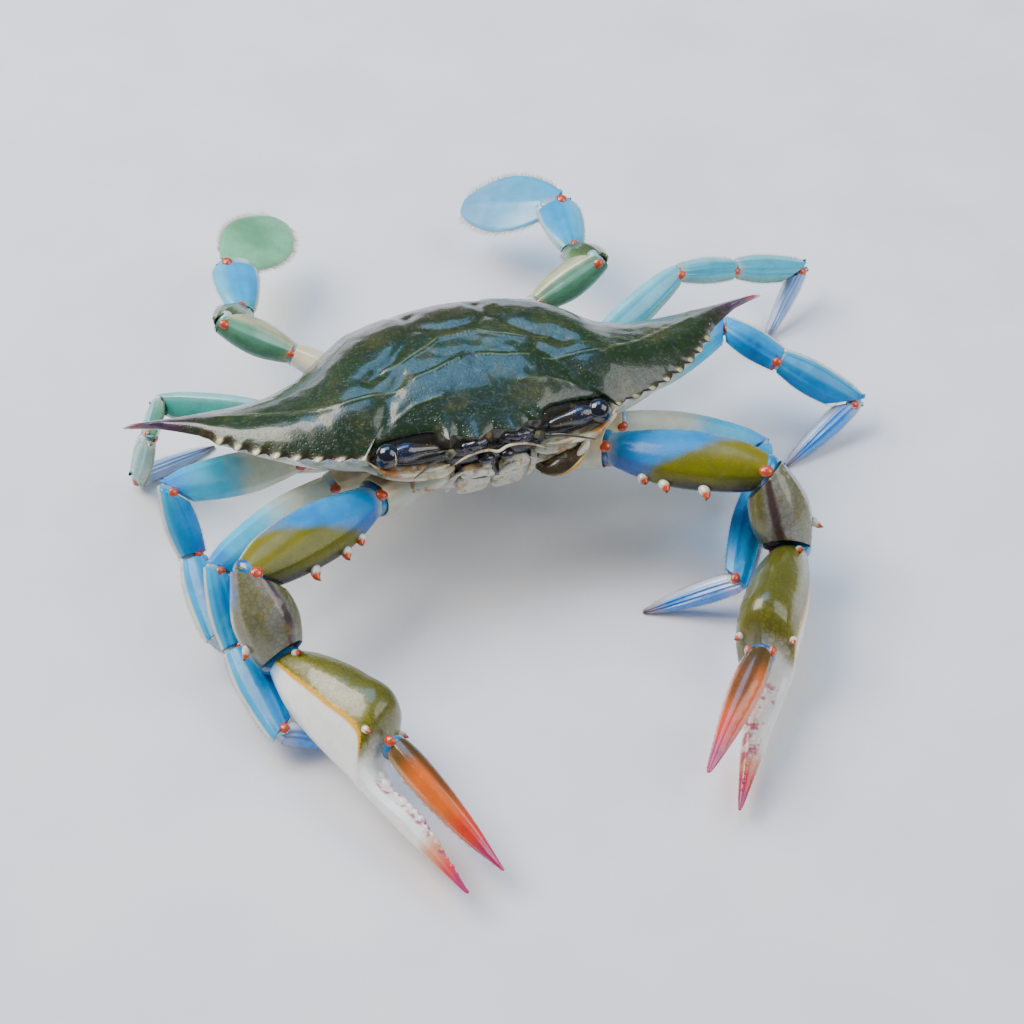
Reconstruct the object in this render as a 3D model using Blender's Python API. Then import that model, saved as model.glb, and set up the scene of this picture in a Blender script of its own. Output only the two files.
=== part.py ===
"""A female blue swimming crab, life size, standing with its claws held out in front of it.

Metres, +Z up. The head looks along -Y, and the crab's left is +X. The floor is z = 0, and the origin is
the middle of the floor that the crab covers. Every size below is in millimetres or degrees."""

import math
from collections import namedtuple

import bmesh
import bpy
import numpy as np
from mathutils import Matrix, Vector

MM = 0.001
GAP = 0.3  # between pieces that meet

# Body frame: its origin is the middle of the back at the level of the shell's edge.
BODY_PLACE = (-12.45, 18.05, 33.3)
NOSE_UP = 10.0
LEAN = 0.8

# Shell
SPAN = 150.0  # from spine tip to spine tip
SPINE_TIP = (SPAN / 2, 3.9, -0.5)
SPINE_FOOT = (67.5, 2.9, -0.5)
# The back's crest across the shell, as (distance out, mm): its height, and its share of the way from the
# front edge to the rear one.
CREST_HEIGHT = ((0, 11.2), (12, 10.9), (21, 9.6), (27, 8.5), (34, 6.0), (46, 3.8), (54, 2.2), (65, 0.9), (75, 0.1))
CREST_PLACE = ((0, 0.5), (12, 0.48), (21, 0.44), (27, 0.38), (34, 0.3), (75, 0.3))
BELLY = 10.0  # depth of the shell's underside below its edge
SHELL_ROWS = 12
FRONT_Y = -30.4
OUTER_TOOTH, SIDE_END = (28.4, -27.8), (60.0, -5.2)  # where the toothed side starts and ends
TEETH = 8
TEETH_FROM = 0.15  # share of the side that is bare at its end
TOOTH_DEPTH = 1.5
SIDE_BULGE = 4.0  # of the toothed side beyond a straight line

# Underside
STERNUM_HALF = (20.0, 23.0, 4.7)
STERNUM_MIDDLE = (0.0, 1.5, -15.1)
ABDOMEN_THICKNESS = 2.0
MOUTH_PLATE_HALF = (3.8, 1.2, 7.4)
MOUTH_PLATE_PLACE = (4.0, -25.4, -12.4)
MOUTH_TILT = 35.0

# Eyes and feelers
EYE_ROOT, EYE_END = (12.2, -28.6, -0.7), (26.4, -28.7, 0.3)
FEELER_ROOT, FEELER_END = (8.8, -28.4, -2.3), (20.5, -36.5, -1.5)

TIP_HEIGHT = 0.3  # of the middle of a leg's tip, which is flat where it stands

# A limb hangs from its hip, in the body frame, by a short base that ends at its root. Each later piece
# has a length, and on each side a heading from straight out (90 is forward) and a rise from level. A rise
# of None brings the tip to the floor. The pieces' broad faces look along left_face and right_face.
# Width scales the sizes across them.
Limb = namedtuple("Limb", "name width pieces hip root lengths left right left_face right_face")
# Outline of a piece about its axis, as (share of length, mm): how far its fore and hind edges stand off
# the axis, and half its thickness. Over is how far its round ends reach past the joints.
Outline = namedtuple("Outline", "fore hind thick over round_end")

WALKING = ("base", "merus", "carpus", "propodus", "dactyl")
LIMBS = (
    Limb("claw", 1.0, ("base", "merus", "carpus", "palm", "dactyl"), (14.2, -17.5, -14), (27, -25, -12.5),
         (36.5, 19.5, 36, 33.5), ((35, 4), (69, -62), (123, 6), (130, 1)),
         ((28, 5), (103, -53), (116, 3), (115, -14)), (0.83, -0.51, 0.2), (-0.65, -0.28, 0.76)),
    Limb("leg_2", 1.0, WALKING, (18.5, -10, -15), (34, -15, -13.5),
         (34, 17.5, 23.5, 21.5), ((14, -18), (118, 8), (120, -13), (-164, None)),
         ((28, -2), (91, -40), (99, -9), (171, None)), (0, -0.7, 0.7), (0, -0.7, 0.7)),
    Limb("leg_3", 1.0, WALKING, (19.5, -0.5, -15.5), (38, -2, -14.5),
         (32, 16, 21.5, 23), ((-21, 4), (56, -7), (22, -33), (157, None)),
         ((13, 13), (104, -56), (89, -11), (148, None)), (0, -0.7, 0.7), (0, -0.7, 0.7)),
    Limb("leg_4", 0.82, WALKING, (19.5, 9, -15.5), (34, 12.5, -13.5),
         (33, 18, 21.5, 20.5), ((-27, 12), (-15, -21), (-12, -23), (137, None)),
         ((-30, -2), (71, 17), (-75, -65), (-160, None)), (0, -0.7, 0.7), (-0.6, -0.5, 0.6)),
    Limb("swimmer", 1.0, ("base", "merus", "carpus", "propodus", "paddle"), (15.3, 18.6, -13), (29.5, 32.5, -8.5),
         (17.5, 12, 18, 26.5), ((-5, 27), (-102, -23), (-84, 1), (-136, -22)),
         ((-26, 26), (-127, -28), (-97, -1), (-130, -15)), (0, -0.4, 0.9), (0, -0.4, 0.9)),
)

OUTLINES = {
    "claw_base": Outline(((0, 5.0), (1, 5.2)), ((0, 5.0), (1, 5.2)), ((0, 4.6), (1, 4.8)), (0, 3), 0.5),
    "claw_merus": Outline(((0, 4.6), (0.35, 6.8), (0.8, 6.4), (1, 5.4)),
                          ((0, 4.2), (0.4, 6.6), (0.8, 6.8), (1, 5.2)),
                          ((0, 4.4), (0.5, 5.2), (1, 4.8)), (3, 3), 0.5),
    "claw_carpus": Outline(((0, 5.6), (0.5, 7.6), (1, 6.6)), ((0, 5.0), (0.5, 6.9), (1, 5.8)),
                           ((0, 5.0), (0.5, 6.4), (1, 5.4)), (4, 3), 0.55),
    "claw_dactyl": Outline(((0, 4.4), (0.2, 3.9), (0.7, 2.0), (1, 0.2)),
                           ((0, 3.2), (0.25, 3.2), (0.7, 2.7), (1, 1.4)),
                           ((0, 3.8), (0.3, 3.5), (1, 0.9)), (2, 1), 0.5),
    "base": Outline(((0, 3.8), (1, 3.6)), ((0, 3.8), (1, 3.6)), ((0, 3.2), (1, 2.8)), (0, 2), 0.5),
    "merus": Outline(((0, 2.9), (0.4, 4.5), (0.85, 3.9), (1, 3.2)),
                     ((0, 2.9), (0.4, 4.5), (0.85, 4.1), (1, 3.2)),
                     ((0, 2.0), (0.5, 2.4), (1, 2.2)), (2, 2.5), 0.35),
    "carpus": Outline(((0, 2.6), (0.5, 3.4), (1, 3.2)), ((0, 2.8), (0.5, 3.6), (1, 3.2)),
                      ((0, 2.1), (0.5, 2.2), (1, 2.0)), (2, 2), 0.3),
    "propodus": Outline(((0, 3.1), (0.4, 3.9), (1, 3.3)), ((0, 3.1), (0.4, 3.8), (1, 3.2)),
                        ((0, 1.9), (0.5, 1.9), (1, 1.7)), (2, 2), 0.3),
    "dactyl": Outline(((0, 2.6), (0.35, 2.4), (0.75, 1.6), (1, 0.9)),
                      ((0, 2.6), (0.35, 2.4), (0.75, 1.6), (1, 0.9)),
                      ((0, 1.6), (0.5, 1.4), (1, 0.9)), (2, 0.8), 0.4),
    "swimmer_base": Outline(((0, 3.6), (1, 3.4)), ((0, 3.6), (1, 3.4)), ((0, 3.2), (1, 3.0)), (0, 2), 0.5),
    "swimmer_merus": Outline(((0, 3.0), (0.5, 4.4), (1, 3.8)), ((0, 3.0), (0.5, 4.4), (1, 3.8)),
                             ((0, 2.6), (0.5, 2.8), (1, 2.4)), (2, 2), 0.35),
    "swimmer_carpus": Outline(((0, 3.2), (0.5, 4.2), (1, 3.4)), ((0, 3.2), (0.5, 4.2), (1, 3.4)),
                              ((0, 2.2), (0.5, 2.3), (1, 2.0)), (2, 2), 0.35),
    "swimmer_propodus": Outline(((0, 3.2), (0.5, 4.8), (0.85, 5.4), (1, 4.9)),
                                ((0, 3.2), (0.5, 4.8), (0.85, 5.4), (1, 4.9)),
                                ((0, 1.7), (0.5, 1.5), (1, 1.2)), (2, 2), 0.35),
    "swimmer_paddle": Outline(((0, 5.0), (0.3, 7.4), (0.6, 8.2), (0.85, 6.8), (1, 4.8)),
                              ((0, 5.0), (0.3, 7.2), (0.6, 7.8), (0.85, 6.4), (1, 4.6)),
                              ((0, 1.1), (0.5, 0.8), (1, 0.5)), (2, 1), 0.5),
}
# The palm goes on past its hinge as the fixed finger, whose edge leaves room for the moving one.
FINGER = 31.5  # length of the fixed finger past the hinge
PALM = Outline(((0, 4.8), (0.12, 7.8), (0.3, 9.3), (0.458, 7.6), (0.52, -4.7), (0.74, -7.8), (1, -13.2)),
               ((0, 4.8), (0.14, 8.2), (0.5, 10.8), (0.75, 13.4), (1, 15.2)),
               ((0, 4.8), (0.2, 6.9), (0.45, 6.7), (0.56, 4.6), (0.75, 3.2), (1, 0.9)), (3, 1), 0.5)

Look = namedtuple("Look", "colour roughness metallic")
LOOKS = {
    "olive_shell": Look((0.075, 0.095, 0.035), 0.25, 0.0),
    "white_underside": Look((0.80, 0.78, 0.70), 0.4, 0.0),
    "dark_eye": Look((0.01, 0.015, 0.05), 0.08, 0.0),
    "feeler": Look((0.25, 0.30, 0.25), 0.4, 0.0),
    "claw_blue": Look((0.05, 0.42, 0.75), 0.28, 0.0),
    "claw_olive": Look((0.22, 0.21, 0.05), 0.28, 0.0),
    "finger_red": Look((0.75, 0.16, 0.08), 0.3, 0.0),
    "leg_blue": Look((0.06, 0.33, 0.72), 0.3, 0.0),
    "swimmer_green": Look((0.16, 0.38, 0.30), 0.32, 0.0),
}


def curve_at(stations, share):
    """Value at share of a smooth curve through (share, value) stations, level beyond both ends."""
    if share <= stations[0][0]:
        return stations[0][1]
    if share >= stations[-1][0]:
        return stations[-1][1]
    last = len(stations) - 1
    i = max(n for n in range(last) if stations[n][0] <= share)

    def slope(n):
        before, after = stations[max(n - 1, 0)], stations[min(n + 1, last)]
        return (after[1] - before[1]) / (after[0] - before[0])

    width = stations[i + 1][0] - stations[i][0]
    u = (share - stations[i][0]) / width
    return (
        (1 + 2 * u) * (1 - u) ** 2 * stations[i][1]
        + u * (1 - u) ** 2 * width * slope(i)
        + u * u * (3 - 2 * u) * stations[i + 1][1]
        + u * u * (u - 1) * width * slope(i + 1)
    )


def shaped_ball(columns, rows, place):
    """A closed ball whose points move to place(polar angle, turn), with its faces out."""
    bm = bmesh.new()
    bmesh.ops.create_uvsphere(bm, u_segments=columns, v_segments=rows, radius=1.0)
    for vert in bm.verts:
        polar = math.acos(max(-1.0, min(1.0, vert.co.z)))
        vert.co = Vector(place(polar, math.atan2(vert.co.y, vert.co.x)))
    face_outwards(bm)
    return bm


def face_outwards(bm):
    """Turns the faces of a closed mesh outwards."""
    bmesh.ops.recalc_face_normals(bm, faces=bm.faces)
    if bm.calc_volume(signed=True) < 0:
        bmesh.ops.reverse_faces(bm, faces=bm.faces)


def boxy(value, power=0.55):
    """A sine or cosine bent towards a box's sides."""
    return math.copysign(abs(value) ** power, value)


def cut(bm, place, normal):
    """Takes off what lies beyond the plane, on the side that normal points to, and closes the cut."""
    geometry = bm.verts[:] + bm.edges[:] + bm.faces[:]
    bmesh.ops.bisect_plane(bm, geom=geometry, dist=1e-5, plane_co=place, plane_no=normal, clear_outer=True)
    bmesh.ops.holes_fill(bm, edges=[edge for edge in bm.edges if edge.is_boundary], sides=0)
    face_outwards(bm)


def grow_spine(bm, near, lean, foot=1.3, sharpness=0.2):
    """Draws a small foot on the face nearest to a point out into a spine. lean is its way and length."""
    face = min(bm.faces, key=lambda f: (f.calc_center_median() - near).length)
    bmesh.ops.inset_individual(bm, faces=[face], thickness=0.01)
    middle = face.calc_center_median()
    shrink = foot / max((vert.co - middle).length for vert in face.verts)
    for vert in face.verts:
        vert.co = middle + (vert.co - middle) * shrink
    grown = bmesh.ops.extrude_discrete_faces(bm, faces=[face])["faces"][0]
    for vert in grown.verts:
        vert.co = middle + lean + (vert.co - middle) * sharpness


def material(name):
    """The sub-part's own material, made once."""
    if name in bpy.data.materials:
        return bpy.data.materials[name]
    made = bpy.data.materials.new(name)
    made.use_nodes = True
    shader = made.node_tree.nodes["Principled BSDF"]
    shader.inputs["Base Color"].default_value = (*LOOKS[name].colour, 1.0)
    shader.inputs["Roughness"].default_value = LOOKS[name].roughness
    shader.inputs["Metallic"].default_value = LOOKS[name].metallic
    return made


def add_piece(name, bm, look, matrix=None, parent=None):
    """Makes the object of one node. bm and matrix are in millimetres."""
    bmesh.ops.scale(bm, vec=(MM, MM, MM), verts=bm.verts)
    mesh = bpy.data.meshes.new(name)
    bm.to_mesh(mesh)
    bm.free()
    mesh.shade_smooth()
    mesh.set_sharp_from_angle(angle=math.radians(40))
    mesh.materials.append(material(look))
    piece = bpy.data.objects.new(name, mesh)
    bpy.context.scene.collection.objects.link(piece)
    if matrix is not None:
        piece.matrix_world = Matrix.Translation(matrix.translation * MM) @ matrix.to_3x3().to_4x4()
    if parent is not None:
        piece.parent = parent
    return piece


def body_matrix():
    """Body frame to the floor's frame, in millimetres."""
    turned = Matrix.Rotation(math.radians(LEAN), 4, "Y") @ Matrix.Rotation(math.radians(-NOSE_UP), 4, "X")
    return Matrix.Translation(BODY_PLACE) @ turned


def side_point(share):
    """A point of the toothed side's even line, from its end at the spine to the tooth at the eye."""
    end, first = Vector(SIDE_END), Vector(OUTER_TOOTH)
    along = first - end
    outward = Vector((-along.y, along.x)).normalized()
    return end + along * share + outward * SIDE_BULGE * 4 * share * (1 - share), outward


def half_margin():
    """The shell's edge on its left, from the rear to the front, as (even point, how a tooth shifts it)."""
    level = Vector((0, 0, 0))
    rear = [(0, 32.5, -7.6), (12, 32.0, -7.5), (20.5, 29.8, -7.1), (27, 23.2, -6.4), (34, 14.8, -5.2),
            (42, 8.8, -3.6), (50, 5.6, -2.0), (58, 4.3, -1.0), (66.5, 4.0, -0.7)]
    points = [(Vector(p), level) for p in rear]
    points.append((Vector(SPINE_FOOT), Vector(SPINE_TIP) - Vector(SPINE_FOOT)))
    points.append((Vector((67.4, 1.0, -0.5)), level))
    points.append((Vector((63.8, -2.0, -0.3)), level))
    points.append((Vector((*SIDE_END, -0.2)), level))
    pitch = (1 - TEETH_FROM) / (TEETH - 1)
    for tooth in range(TEETH):
        share = TEETH_FROM + tooth * pitch
        for place, stands_out in ((share - 0.5 * pitch, -0.5), (share, 0.45)):
            even, outward = side_point(place)
            shift = outward * TOOTH_DEPTH * stands_out
            points.append((Vector((*even, 0)), Vector((*shift, 0))))
    orbit = [(26.6, -25.2, 0.2), (20.0, -24.4, 0.8), (13.4, -25.6, 1.4)]
    front = [(10.3, -29.9, 1.7), (8.0, -28.6, 1.4), (4.6, -31.2, 1.2), (0, -29.4, 1.2)]
    for x, y, z in orbit + front:
        even_y = FRONT_Y + (OUTER_TOOTH[1] - FRONT_Y) * (x / OUTER_TOOTH[0]) ** 2
        points.append((Vector((x, even_y, z)), Vector((0, y - even_y, 0))))
    return points


def whole_margin():
    """The shell's edge all round, left half first. The points on the middle line are there once."""
    left = half_margin()
    mirror = Vector((-1, 1, 1))
    right = [(even * mirror, shift * mirror) for even, shift in reversed(left[1:-1])]
    return left + right


def edge_at(points, out):
    """The (y, z) of the shell's edge at a distance out from the middle, from points in order outwards."""
    outs = [point.x for point in points]
    return Vector((np.interp(out, outs, [point.y for point in points]),
                   np.interp(out, outs, [point.z for point in points])))


def make_carapace(body):
    """The back: a domed shell with a toothed edge and a long spine on each side."""
    margin = whole_margin()
    left = [even for even, _ in half_margin()]
    tip = left.index(Vector(SPINE_FOOT))
    rear_edge, front_edge = left[:tip + 1], left[tip:][::-1]

    def top(x, y):
        """Height of the back over a point inside its edge."""
        front, rear = edge_at(front_edge, abs(x)), edge_at(rear_edge, abs(x))
        crest = front[0] + (rear[0] - front[0]) * curve_at(CREST_PLACE, abs(x))
        edge = rear if y > crest else front
        down = min(1.0, ((y - crest) / (edge[0] - crest)) ** 2) if abs(edge[0] - crest) > 0.01 else 1.0
        return edge[1] * down + curve_at(CREST_HEIGHT, abs(x)) * (1 - down) ** 1.15

    def place(polar, turn):
        column = round(turn / (2 * math.pi) * len(margin)) % len(margin)
        even, shift = margin[column]
        ring = math.sin(polar)
        x, y = even.x * ring + shift.x * ring**14, even.y * ring + shift.y * ring**14
        forward = max(0.0, even.y / FRONT_Y)
        if polar < math.pi / 2:
            return x, y, top(even.x * ring, even.y * ring)
        return x, y, even.z * ring**2 - BELLY * (1 - ring ** (2.5 + 2.5 * forward))

    add_piece("carapace", shaped_ball(len(margin), SHELL_ROWS, place), "olive_shell", parent=body)


def make_sternum(body):
    """The breast plates that carry the legs, narrower towards both ends."""
    middle, half = Vector(STERNUM_MIDDLE), STERNUM_HALF

    def place(polar, turn):
        along = boxy(math.sin(polar)) * boxy(math.sin(turn))
        across = boxy(math.sin(polar)) * boxy(math.cos(turn)) * (1 - 0.22 * along**2)
        return middle + Vector((half[0] * across, half[1] * along, half[2] * boxy(math.cos(polar))))

    add_piece("sternum", shaped_ball(18, 8, place), "white_underside", parent=body)


def make_abdomen(body):
    """The broad flap that starts behind the shell and lies forward under the breast."""
    along = ((0, 34.6), (0.16, 34.4), (0.32, 28.5), (0.5, 18.0), (1, -7.0))
    level = ((0, -9.2), (0.16, -15.2), (0.32, -20.2), (0.5, -21.0), (1, -21.0))
    half_width = ((0, 7.0), (0.3, 9.5), (0.62, 12.5), (0.85, 10.5), (1, 5.0))

    def place(polar, turn):
        share = (1 - math.cos(polar)) / 2
        slope = Vector((0, curve_at(along, share + 0.01) - curve_at(along, share - 0.01),
                        curve_at(level, share + 0.01) - curve_at(level, share - 0.01)))
        out = slope.normalized().cross(Vector((1, 0, 0))) if slope.length > 0 else Vector((0, 0, 1))
        full = math.sin(polar) ** 0.5
        across = curve_at(half_width, share) * full * math.cos(turn)
        spot = Vector((across, curve_at(along, share), curve_at(level, share)))
        return spot + out * ABDOMEN_THICKNESS / 2 * full * boxy(math.sin(turn))

    add_piece("abdomen", shaped_ball(14, 12, place), "white_underside", parent=body)


def make_mouth_plate(name, side, body):
    """One of the two plates that close the mouth."""
    tilt = Matrix.Rotation(math.radians(MOUTH_TILT), 3, "X")
    middle = Vector(MOUTH_PLATE_PLACE) * Vector((side, 1, 1))

    def place(polar, turn):
        across = boxy(math.sin(polar)) * boxy(math.cos(turn))
        through = boxy(math.sin(polar)) * boxy(math.sin(turn))
        half = MOUTH_PLATE_HALF
        spot = Vector((half[0] * across, half[1] * through, half[2] * boxy(math.cos(polar))))
        return middle + tilt @ spot

    add_piece(name, shaped_ball(10, 6, place), "white_underside", parent=body)


def make_eye(name, side, body):
    """An eye on its stalk, laid outwards along the socket."""
    root, end = (Vector(p) * Vector((side, 1, 1)) for p in (EYE_ROOT, EYE_END))
    add_piece(name, rod(root, end, ((0, 1.6), (0.5, 1.7), (0.72, 2.2), (0.9, 2.5), (1, 2.3)), 10, 9),
              "dark_eye", parent=body)


def make_feeler(name, side, body):
    """A feeler with a stout foot that tapers to a thread."""
    root, end = (Vector(p) * Vector((side, 1, 1)) for p in (FEELER_ROOT, FEELER_END))
    add_piece(name, rod(root, end, ((0, 1.3), (0.25, 1.2), (0.35, 0.6), (1, 0.35)), 6, 8),
              "feeler", parent=body)


def rod(root, end, radius, columns, rows):
    """A round rod from root to end whose radius follows (share, mm) stations."""
    axis = end - root
    turned = axis.to_track_quat("Z", "Y").to_matrix()

    def place(polar, turn):
        share = (1 - math.cos(polar)) / 2
        r = curve_at(radius, share) * math.sin(polar) ** 0.6
        spot = Vector((r * math.cos(turn), r * math.sin(turn), share * axis.length))
        return root + turned @ spot

    return shaped_ball(columns, rows, place)


def direction(heading, rise, side):
    """Unit vector of a heading from straight out, 90 being forward, and a rise from level."""
    turn, lift = math.radians(heading), math.radians(rise)
    return Vector((side * math.cos(turn) * math.cos(lift), -math.sin(turn) * math.cos(lift), math.sin(lift)))


def limb_joints(limb, side):
    """The joints of a limb from its hip to its tip, in the floor's frame."""
    body, mirror = body_matrix(), Vector((side, 1, 1))
    points = [body @ (Vector(limb.hip) * mirror), body @ (Vector(limb.root) * mirror)]
    for length, (heading, rise) in zip(limb.lengths, limb.left if side > 0 else limb.right):
        if rise is None:
            rise = -math.degrees(math.asin((points[-1].z - TIP_HEIGHT) / length))
        points.append(points[-1] + direction(heading, rise, side) * length)
    return points


def piece_frame(start, end, face):
    """Places a piece: X runs to its next joint, and Y is the way that its broad face looks."""
    along = (end - start).normalized()
    out = (face - along * face.dot(along)).normalized()
    turned = Matrix((along, out, along.cross(out))).transposed()
    return Matrix.Translation(start) @ turned.to_4x4()


def piece_mesh(length, outline, side, columns, rows):
    """A limb's piece along +X, thin along Y. Its fore edge is at +Z on the left, and at -Z on the right."""
    before, after = outline.over

    def place(polar, turn):
        share = (1 - math.cos(polar)) / 2
        x = share * (length + before + after) - before
        full = math.sin(polar) ** outline.round_end
        fore, hind = curve_at(outline.fore, x / length), curve_at(outline.hind, x / length)
        middle, half = (fore - hind) / 2, (fore + hind) / 2
        y = curve_at(outline.thick, x / length) * full * math.cos(turn)
        return x, y, side * (middle + half * full * math.sin(turn))

    return shaped_ball(columns, rows, place)


def add_merus_spines(bm, side):
    """Three spines on the fore edge of a claw's first long piece."""
    for x, reach in ((7, 2.6), (12, 3.0), (20.5, 3.6)):
        grow_spine(bm, Vector((x, 0, side * 6.4)), Vector((0.3, 0, side * reach)))


def add_palm_spines(bm, side):
    """One spine where the palm meets the wrist, and two beside the hinge."""
    for (x, y, z), (on, out, up) in (((5, 4, 4.5), (2.4, 2.0, 2.2)), ((28, 4.2, 4.2), (2.6, 1.2, 1.6))):
        grow_spine(bm, Vector((x, y, side * z)), Vector((on, out, side * up)))


def make_limb(limb, side):
    """All the pieces of one limb, mitred where they meet."""
    word = "left" if side > 0 else "right"
    points = limb_joints(limb, side)
    face = Vector(limb.left_face if side > 0 else limb.right_face)
    claw = limb.name == "claw"
    for i, kind in enumerate(limb.pieces):
        start, end = points[i], points[i + 1]
        key = f"{limb.name}_{kind}" if f"{limb.name}_{kind}" in OUTLINES else kind
        outline, length = OUTLINES.get(key), (end - start).length
        columns, rows = (12, 9) if claw else (8, 8)
        looking = Vector((0, -0.3, 1)) if claw and kind in ("base", "merus") else face
        if claw and kind == "carpus":
            looking = Vector((side * 0.3, -0.6, 0.7))
        if claw and kind == "merus":
            rows = 14
        if kind == "palm":
            outline, length, rows = PALM, length + FINGER, 18
        frame = piece_frame(start, end, looking)
        bm = piece_mesh(length, outline, side, columns, rows)
        bmesh.ops.scale(bm, vec=(1, limb.width, limb.width), verts=bm.verts)
        inverse = frame.inverted()
        for at, keeps in ((i, -1), (i + 1, 1)):
            if not 0 < at < len(points) - 1:
                continue
            if kind == "palm" and keeps > 0:
                continue
            before = (points[at] - points[at - 1]).normalized()
            after = (points[at + 1] - points[at]).normalized()
            normal = (before + after).normalized() * keeps
            cut(bm, inverse @ (points[at] - normal * GAP / 2), inverse.to_3x3() @ normal)
        if kind == "merus" and claw:
            add_merus_spines(bm, side)
        if kind == "palm":
            add_palm_spines(bm, side)
        if kind == "dactyl" and not claw:
            cut(bm, inverse @ Vector((0, 0, 0)), inverse.to_3x3() @ Vector((0, 0, -1)))
        add_piece(f"{limb.name}_{kind}_{word}", bm, limb_look(limb.name, kind), frame)


def limb_look(limb, kind):
    """The material of a limb's piece."""
    if kind == "base":
        return "white_underside"
    if limb == "claw":
        return {"merus": "claw_blue", "carpus": "claw_olive", "palm": "claw_olive"}.get(kind, "finger_red")
    return "swimmer_green" if limb in ("leg_4", "swimmer") else "leg_blue"


def main():
    """Clears the scene and builds the crab."""
    for old in list(bpy.data.objects):
        bpy.data.objects.remove(old, do_unlink=True)
    body = bpy.data.objects.new("body", None)
    bpy.context.scene.collection.objects.link(body)
    tilt = body_matrix()
    body.matrix_world = Matrix.Translation(tilt.translation * MM) @ tilt.to_3x3().to_4x4()
    make_carapace(body)
    make_sternum(body)
    make_abdomen(body)
    for side, word in ((1, "left"), (-1, "right")):
        make_mouth_plate(f"maxilliped_{word}", side, body)
        make_eye(f"eye_{word}", side, body)
        make_feeler(f"antenna_{word}", side, body)
        for limb in LIMBS:
            make_limb(limb, side)


main()
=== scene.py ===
"""Dresses the blue crab: fine shell plates, limbs, eyes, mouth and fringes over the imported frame.

Sizes are in millimetres and degrees, and MM turns them to metres. In the body frame and in the room the head
looks along -Y, and the crab's left is +X. The body frame's origin is the middle of the back at the level of
the shell's edge.
"""

from __future__ import annotations

import logging
import math
import random
from collections.abc import Callable, Iterable
from dataclasses import dataclass, replace
from enum import Enum
from functools import lru_cache
from typing import ClassVar

import bmesh
import bpy
import numpy as np
from mathutils import Matrix, Vector, noise
from mathutils.geometry import intersect_point_line


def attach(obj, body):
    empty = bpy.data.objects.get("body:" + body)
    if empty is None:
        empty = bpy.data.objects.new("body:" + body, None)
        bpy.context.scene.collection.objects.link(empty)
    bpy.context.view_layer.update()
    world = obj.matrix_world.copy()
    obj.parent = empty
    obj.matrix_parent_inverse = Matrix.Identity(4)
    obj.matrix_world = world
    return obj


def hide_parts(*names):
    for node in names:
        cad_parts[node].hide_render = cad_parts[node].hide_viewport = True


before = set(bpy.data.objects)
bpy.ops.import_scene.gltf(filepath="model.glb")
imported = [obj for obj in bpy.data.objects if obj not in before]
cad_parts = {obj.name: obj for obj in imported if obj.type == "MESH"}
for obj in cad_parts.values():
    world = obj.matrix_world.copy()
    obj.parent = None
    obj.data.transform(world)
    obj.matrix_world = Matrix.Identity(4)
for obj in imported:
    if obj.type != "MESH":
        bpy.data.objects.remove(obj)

LOG = logging.getLogger("crab")
MM = 0.001
ROOT = "root"
SEED = 11
SHARP_ANGLE = 50.0
# Side of the square that each tuft takes on the unwrap of the skin under it.
TUFT_PATCH = 0.003
# Share of a path over which its slope is read.
STEP = 0.01
# What darkens and lightens a mottled colour, and how far light goes into a plate, in metres.
SHADE = (0.30, 0.32, 0.34, 1.0)
GLINT = (1.0, 1.0, 0.92, 1.0)
LIGHT_REACH = (0.002, 0.0012, 0.0008)

Stations = tuple[tuple[float, float], ...]
Point = tuple[float, float, float]
Placed = tuple[Vector, Vector, float]
Place = Callable[[float, float], Placed]


# ---------------------------------------------------------------- shapes


@lru_cache(maxsize=500_000)
def curve_at(stations: Stations, share: float) -> float:
    """Reads a smooth curve.

    Args:
        stations: (share, value) pairs in rising order of share.
        share: where to read it.

    Returns:
        The value there, level beyond both ends.
    """
    if share <= stations[0][0]:
        return stations[0][1]
    if share >= stations[-1][0]:
        return stations[-1][1]
    last = len(stations) - 1
    i = max(n for n in range(last) if stations[n][0] <= share)
    width = stations[i + 1][0] - stations[i][0]
    u = (share - stations[i][0]) / width
    slopes = []
    for n in (i, i + 1):
        before, after = stations[max(n - 1, 0)], stations[min(n + 1, last)]
        slopes.append((after[1] - before[1]) / (after[0] - before[0]) * width)
    return (
        (1 + 2 * u) * (1 - u) ** 2 * stations[i][1]
        + u * (1 - u) ** 2 * slopes[0]
        + u * u * (3 - 2 * u) * stations[i + 1][1]
        + u * u * (u - 1) * slopes[1]
    )


def path_at(points: list[Vector], share: float) -> Vector:
    """Reads a smooth path.

    Args:
        points: what the path runs through.
        share: 0 at the first point and 1 at the last.

    Returns:
        The point there.
    """
    spans = len(points) - 1
    i = min(int(share * spans), spans - 1)
    u = share * spans - i
    a, b = points[i], points[i + 1]
    before = points[i - 1] if i else a * 2 - b
    after = points[i + 2] if i + 2 <= spans else b * 2 - a
    return (
        a * 2
        + (b - before) * u
        + (before * 2 - a * 5 + b * 4 - after) * u**2
        + (a * 3 - before - b * 3 + after) * u**3
    ) / 2


def boxy(value: float, power: float = 0.55) -> float:
    """A sine or cosine bent towards a box's sides."""
    return math.copysign(abs(value) ** power, value)


def bell(value: float, width: float) -> float:
    """A smooth hump: 1 at zero, near 0 beyond two widths."""
    return math.exp(-((value / width) ** 2))


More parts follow.
